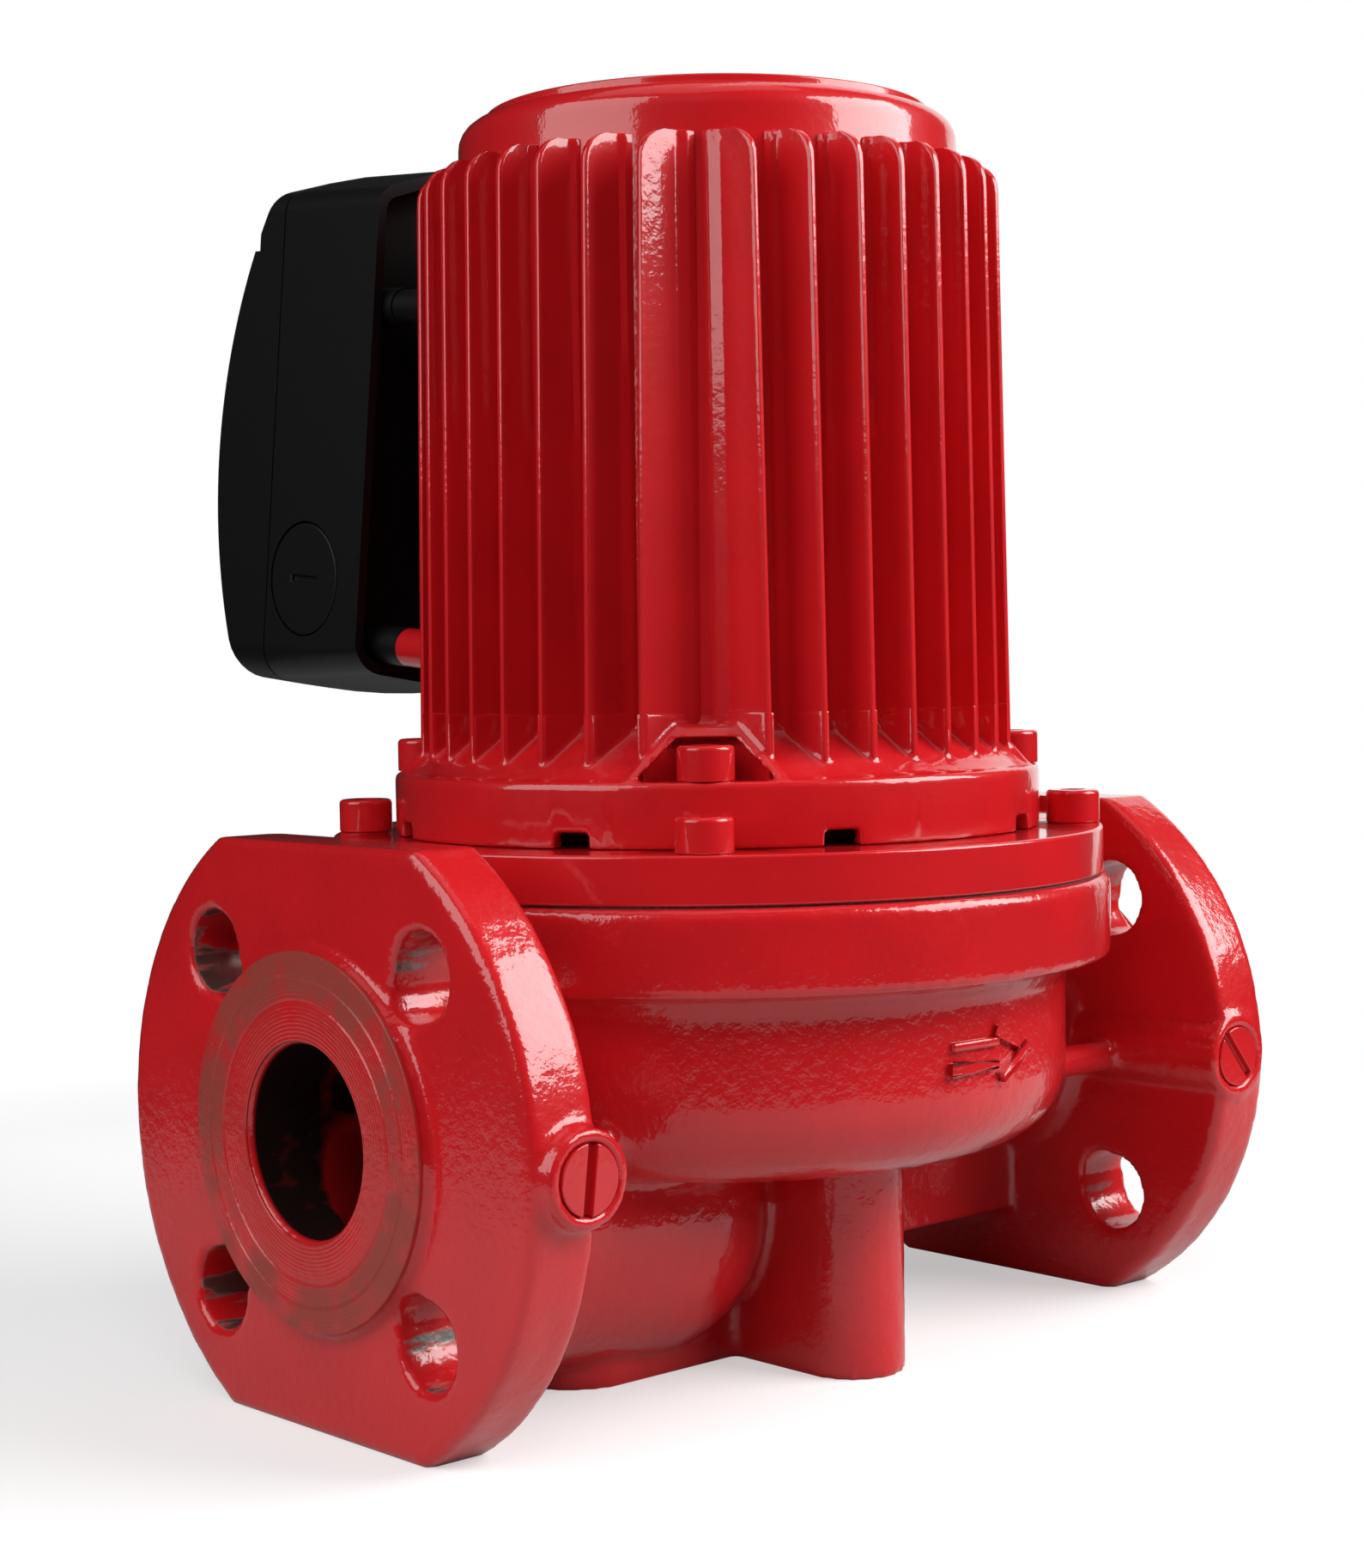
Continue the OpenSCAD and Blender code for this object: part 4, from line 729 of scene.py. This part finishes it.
# %% Flow arrow
BOWL = 84.7
ARROW = [((-95.6, 81.1), (-85.8, 81.1)), ((-95.4, 76.3), (-85.8, 75.9)),
         ((-85.5, 83.8), (-78.9, 78.2)), ((-84.9, 73.4), (-78.9, 78.2))]


def bar(name, start, end, width=2.4, height=1.3):
    """A rounded bar on the bowl."""
    form = bmesh.new()
    bmesh.ops.create_cube(form, size=1)
    a, b = [Vector((math.radians(p[0]) * BOWL, p[1])) for p in (start, end)]
    along = (b - a).normalized()
    across = Vector((-along.y, along.x))
    for v in form.verts:
        flat = (a + b) / 2 + along * v.co.x * ((b - a).length + 1) + across * v.co.y * width
        radius = BOWL + v.co.z * 2 * height
        angle = flat.x / BOWL
        v.co = Vector((radius * math.cos(angle), radius * math.sin(angle), flat.y)) * MM
    bmesh.ops.bevel(form, geom=form.edges, offset=0.8 * MM, segments=3, profile=0.5,
                    affect="EDGES")
    bmesh.ops.recalc_face_normals(form, faces=form.faces)
    mesh = bpy.data.meshes.new(name)
    form.to_mesh(mesh)
    form.free()
    return new_piece(name, mesh, "pump_housing")


bars = [bar("arrow bar", *ends) for ends in ARROW]
print("arrow bars:", len(bars))

# %% [markdown]
# ## Port faces
# After casting, the lathe faces both flanges. It leaves a flat ring with two fine grooves,
# where the pipe seals. The ring is turned here as well, so its edges stay as crisp as a tool
# leaves them, next to the soft edges of the casting.

# %% Port faces
def port_ring(side, inner=22.2, outer=41.9, face=125.25, groove=0.28, half=0.45):
    """A turned facing on one flange; side is -1 or 1."""
    corners = [(inner, face - 1.2, 0), (inner, face, 0.35)]
    for r in GROOVES:
        corners += [(r - half, face, 0.1), (r, face - groove, 0.05), (r + half, face, 0.1)]
    corners += [(outer, face, 0.45), (outer, face - 1.2, 0)]
    ring = turned("port ring", corners, "pump_housing", 120)
    ring.data.transform(Matrix.Translation((0, 0, PIPE_HEIGHT))
                        @ Matrix.Rotation(math.radians(90 * side), 4, "Y"))
    return ring


casing = join([casing, port_ring(-1), port_ring(1)] + bars)
shade(casing, 50, weighted=False)
stands_for(casing, "pump_housing")

# %% [markdown]
# ## Motor flange
# A turned plate closes the casing. Its edges are broken in the solid already, so its mesh is
# only welded, and its normals are weighted to keep the flats flat.

# %% Motor flange
motor_flange = new_piece("motor_flange_look", welded("motor_flange"), "motor_flange")
shade(motor_flange)
stands_for(motor_flange, "motor_flange")

# %% [markdown]
# ## Finned housing
# The real housing is a die casting. Thirty-two cooling fins stand on its barrel in four
# groups of eight, all fins of a group parallel, so that the die can slide off. Their tips lie
# on a circle. That is a rule, so a recipe makes them: each starts as a unit cube, and its
# points move to where the rule says.

# %% Recipe for the fins
def fin_recipe():
    """Bends one cube for each fin, tapered and rounded, with a fillet at its root."""
    tree, start, ask = recipe("cooling fins", {
        "Groups": 4, "Fins in a Group": 8, "Pitch": 11.42 * MM, "Tip Thickness": 1.5 * MM,
        "Root Thickness": 3.2 * MM, "Foot Height": 141.8 * MM, "Top Height": 286 * MM,
        "Foot Radius": 72.5 * MM, "Top Radius": 70.5 * MM, "Shoulder": 7 * MM,
        "Barrel Radius": 61.3 * MM, "Sunk": 2 * MM, "Taper Length": 13 * MM,
        "Root Fillet": 1.0 * MM, "Edge": 0.5 * MM})
    nodes, links = tree.nodes, tree.links
    fins = nodes.new("GeometryNodePoints")
    cube = nodes.new("GeometryNodeMeshCube")
    for socket, count in zip(cube.inputs[1:4], (16, 5, 40)):
        socket.default_value = count
    links.new((ask["Groups"] * ask["Fins in a Group"]).socket, fins.inputs["Count"])
    keep = nodes.new("GeometryNodeStoreNamedAttribute")
    keep.data_type = "FLOAT"
    keep.inputs["Name"].default_value = "fin"
    links.new(fins.outputs[0], keep.inputs["Geometry"])
    links.new(nodes.new("GeometryNodeInputIndex").outputs[0], keep.inputs["Value"])
    copies = nodes.new("GeometryNodeInstanceOnPoints")
    links.new(keep.outputs[0], copies.inputs["Points"])
    links.new(cube.outputs["Mesh"], copies.inputs["Instance"])
    real = nodes.new("GeometryNodeRealizeInstances")
    links.new(copies.outputs[0], real.inputs[0])
    recall = nodes.new("GeometryNodeInputNamedAttribute")
    recall.data_type = "FLOAT"
    recall.inputs["Name"].default_value = "fin"
    fin = Number(tree, recall.outputs["Attribute"])
    x, y, z = axes(tree, nodes.new("GeometryNodeInputPosition").outputs[0])
    n, edge = ask["Fins in a Group"], ask["Edge"]

    def eased(t):
        """Runs from 0 to 1, with more points near both ends."""
        return (t * math.pi).of("COSINE") * -0.5 + 0.5

    def rounding(depth, radius):
        """How far a corner of that radius draws back at that depth."""
        inside = (radius - depth).at_least(0.0).at_most(radius)
        return radius - (radius.squared() - inside.squared()).root()

    beside = (fin.of("MODULO", n) - (n - 1) / 2) * ask["Pitch"]
    rise = ask["Top Height"] - ask["Foot Height"]
    share = eased(z + 0.5)
    down = (share * -1 + 1) * rise
    height = ask["Top Height"] - down
    reach = ask["Foot Radius"] + (ask["Top Radius"] - ask["Foot Radius"]) * share
    reach = reach - rounding(down, ask["Shoulder"])
    tip = (reach.squared() - beside.squared()).root()
    root = ((ask["Barrel Radius"] - ask["Sunk"]).squared() - beside.squared()).root()
    skin = (ask["Barrel Radius"].squared() - beside.squared()).root()
    far = root + (tip - root) * eased(x + 0.5)
    half = (ask["Root Thickness"] - (ask["Root Thickness"] - ask["Tip Thickness"])
            * ((far - root) / ask["Taper Length"]).at_most(1.0)) / 2
    half = half - rounding(tip - far, edge) - rounding(down, edge)
    half = half + rounding(far - skin, ask["Root Fillet"])
    side = beside + y * 2 * half
    quarter = (fin / n).of("FLOOR") * (math.pi / 2)
    cos, sin = quarter.of("COSINE"), quarter.of("SINE")
    placed = nodes.new("ShaderNodeCombineXYZ")
    links.new((far * cos - side * sin).socket, placed.inputs[0])
    links.new((far * sin + side * cos).socket, placed.inputs[1])
    links.new(height.socket, placed.inputs[2])
    moved = nodes.new("GeometryNodeSetPosition")
    links.new(real.outputs[0], moved.inputs["Geometry"])
    links.new(placed.outputs[0], moved.inputs["Position"])
    end_recipe(tree, start, moved.outputs[0])
    return tree


fins = new_piece("fins", bpy.data.meshes.new("fins"), "stator_housing")
print("fins:", follow(fins, fin_recipe(), Groups=4.0), "faces")

# %% [markdown]
# ## Barrel and foot
# The barrel is round with a soft shoulder and a raised lip, so its outline is turned. The
# wide foot has hooded screw pockets and drain slots. It comes from the solid, cut off just
# above them, and is rebuilt as a casting.

# %% Barrel
barrel = turned("barrel", [
    (57, 150, 0), (61.5, 150, 0), (60.5, 298, 6), (54, 298, 0.4), (54, 300, 0.6),
    (50, 300, 0.6), (50, 294, 1), (18, 294, 1), (18, 295.5, 0.4), (10.1, 295.5, 0),
    (10.1, 289, 0), (57, 289, 0)], "stator_housing")
print("barrel:", len(barrel.data.polygons), "faces")

# %% Foot of the housing
FOOT_CUT = 157 * MM
foot_of_housing = new_piece("foot", welded("stator_housing"), "stator_housing")
form = bmesh.new()
form.from_mesh(foot_of_housing.data)
cut = bmesh.ops.bisect_plane(form, geom=form.verts[:] + form.edges[:] + form.faces[:],
                             plane_co=(0, 0, FOOT_CUT), plane_no=(0, 0, 1),
                             clear_outer=True)
rims = [e for e in cut["geom_cut"] if isinstance(e, bmesh.types.BMEdge)]
bmesh.ops.triangle_fill(form, edges=rims, use_beauty=True)
form.to_mesh(foot_of_housing.data)
form.free()
print("foot:", as_cast(foot_of_housing, grain=0.65 * MM, softness=4, share=0.14), "faces")

# %% [markdown]
# ## Bosses behind the terminal box
# Four round bosses and one wide one for the leads stand between the housing and the box,
# which leans back by 5 degrees. The upper pair meets two black feet moulded on the box.
# Plain round bars do, since both their ends are buried.

# %% Bosses
BOX_FOOT, BOX_LEAN = (0, 77, 227), 5


def boss(name, x, z, radius, back, end, look="housing"):
    """A round boss square to the leaning box, from that far behind it to that y."""
    reach = BOX_FOOT[1] + back - end
    form = bmesh.new()
    bmesh.ops.create_cone(form, cap_ends=True, segments=40, radius1=radius * MM,
                          radius2=radius * MM, depth=reach * MM)
    mesh = bpy.data.meshes.new(name)
    form.to_mesh(mesh)
    form.free()
    lean = Matrix.Rotation(math.radians(BOX_LEAN), 4, "X")
    mesh.transform(Matrix.Translation(Vector(BOX_FOOT) * MM) @ lean
                   @ Matrix.Translation(Vector((x, back - reach / 2, z)) * MM)
                   @ Matrix.Rotation(math.radians(-90), 4, "X"))
    piece = new_piece(name, mesh, "stator_housing")
    mesh.materials[0] = FINISH[look]
    return piece


bosses = [boss("lead boss", 0, 12, 12, -3.2, 58)]
for side in (-39, 39):
    bosses.append(boss("lower boss", side, -54, 5, -9.7, 43))
    bosses.append(boss("upper boss", side, 32, 5.5, -17, 43))
    bosses.append(boss("foot of the box", side, 32, 4.5, -3.2, 59, "black_plastic"))
print("bosses:", len(bosses))
housing = join([fins, barrel, foot_of_housing] + bosses)
housing.name = "finned_housing"
shade(housing, 40, weighted=False)
stands_for(housing, "stator_housing")

# %% [markdown]
# ## Screws
# Eight socket cap screws hold the motor. One screw is turned, its socket is cut with a
# hexagonal bar, and a recipe sets four of them on a circle.

# %% Recipe for a circle of screws
def circle_recipe():
    """Sets copies on a circle round the pump's axis, each turned a little further."""
    tree, start, ask = recipe("spread on a circle", {
        "Count": 4, "Circle Radius": 87.3 * MM, "Height": 127 * MM, "First Angle": 45,
        "Further Turn": 0.37})
    nodes, links = tree.nodes, tree.links
    spots = nodes.new("GeometryNodePoints")
    links.new(ask["Count"].socket, spots.inputs["Count"])
    index = Number(tree, nodes.new("GeometryNodeInputIndex").outputs[0])
    angle = (index * 360 / ask["Count"] + ask["First Angle"]) * math.radians(1)
    spot = nodes.new("ShaderNodeCombineXYZ")
    links.new((angle.of("COSINE") * ask["Circle Radius"]).socket, spot.inputs[0])
    links.new((angle.of("SINE") * ask["Circle Radius"]).socket, spot.inputs[1])
    links.new(ask["Height"].socket, spot.inputs[2])
    links.new(spot.outputs[0], spots.inputs["Position"])
    turn = nodes.new("ShaderNodeCombineXYZ")
    links.new((angle + index * ask["Further Turn"]).socket, turn.inputs[2])
    copies = nodes.new("GeometryNodeInstanceOnPoints")
    links.new(spots.outputs[0], copies.inputs["Points"])
    links.new(start.outputs["Geometry"], copies.inputs["Instance"])
    links.new(turn.outputs[0], copies.inputs["Rotation"])
    end_recipe(tree, start, copies.outputs[0])
    return tree


spread = circle_recipe()
print("recipe:", spread.name)


# %% Cap screw
def cap_screw(name, node, length):
    """A screw whose head stands on height 0, with rounded rims and a hexagonal socket."""
    screw = turned(name, [(0, -length, 0), (3.5, -length, 0), (3.5, 0, 0), (6.5, 0, 0.5),
                          (6.5, 8, 1.1), (0, 8, 0)], node, 48)
    bar_form = bmesh.new()
    bmesh.ops.create_cone(bar_form, cap_ends=True, segments=6, radius1=6 * MM / math.sqrt(3),
                          radius2=6 * MM / math.sqrt(3), depth=8 * MM)
    bar_mesh = bpy.data.meshes.new("hexagonal bar")
    bar_form.to_mesh(bar_mesh)
    bar_form.free()
    bar_mesh.transform(Matrix.Translation((0, 0, 8 * MM)))
    hexagon = new_piece("hexagonal bar", bar_mesh, node)
    cut = screw.modifiers.new("socket", "BOOLEAN")
    cut.operation, cut.solver, cut.object = "DIFFERENCE", "EXACT", hexagon
    bake(screw)
    bpy.data.objects.remove(hexagon)
    return screw


for node, length, circle, height in (("casing_screws", 20, 87.3, 127),
                                     ("stator_screws", 18, 72.4, 141.8)):
    screw = cap_screw(node + "_look", node, length)
    follow(screw, spread, Circle_Radius=circle * MM, Height=height * MM)
    shade(screw, 35)
    stands_for(screw, node)

# %% [markdown]
# ## Plugs and terminal box
# Plugs come from a screw machine and the box from a mould, and neither has a razor edge.
# Each keeps its solid's form, with its sharp edges rounded by half a millimetre or less.

# %% Rounded copies
def rounded_copy(node, edge, angle=35, segments=3):
    """A solid's copy with its flats cleaned and its sharp edges rounded."""
    piece = new_piece(node + "_look", welded(node), node)
    form = bmesh.new()
    form.from_mesh(piece.data)
    bmesh.ops.dissolve_limit(form, angle_limit=math.radians(1), verts=form.verts,
                             edges=form.edges)
    form.to_mesh(piece.data)
    form.free()
    rim = piece.modifiers.new("rounded edges", "BEVEL")
    rim.width, rim.segments, rim.limit_method = edge, segments, "ANGLE"
    rim.angle_limit = math.radians(angle)
    rim.use_clamp_overlap = True
    bake(piece)
    shade(piece, angle)
    stands_for(piece, node)
    return piece


for node, edge in (("tapping_plugs", 0.4 * MM), ("entry_plugs", 0.5 * MM),
                   ("terminal_base", 0.4 * MM), ("terminal_cover", 0.5 * MM)):
    rounded_copy(node, edge)
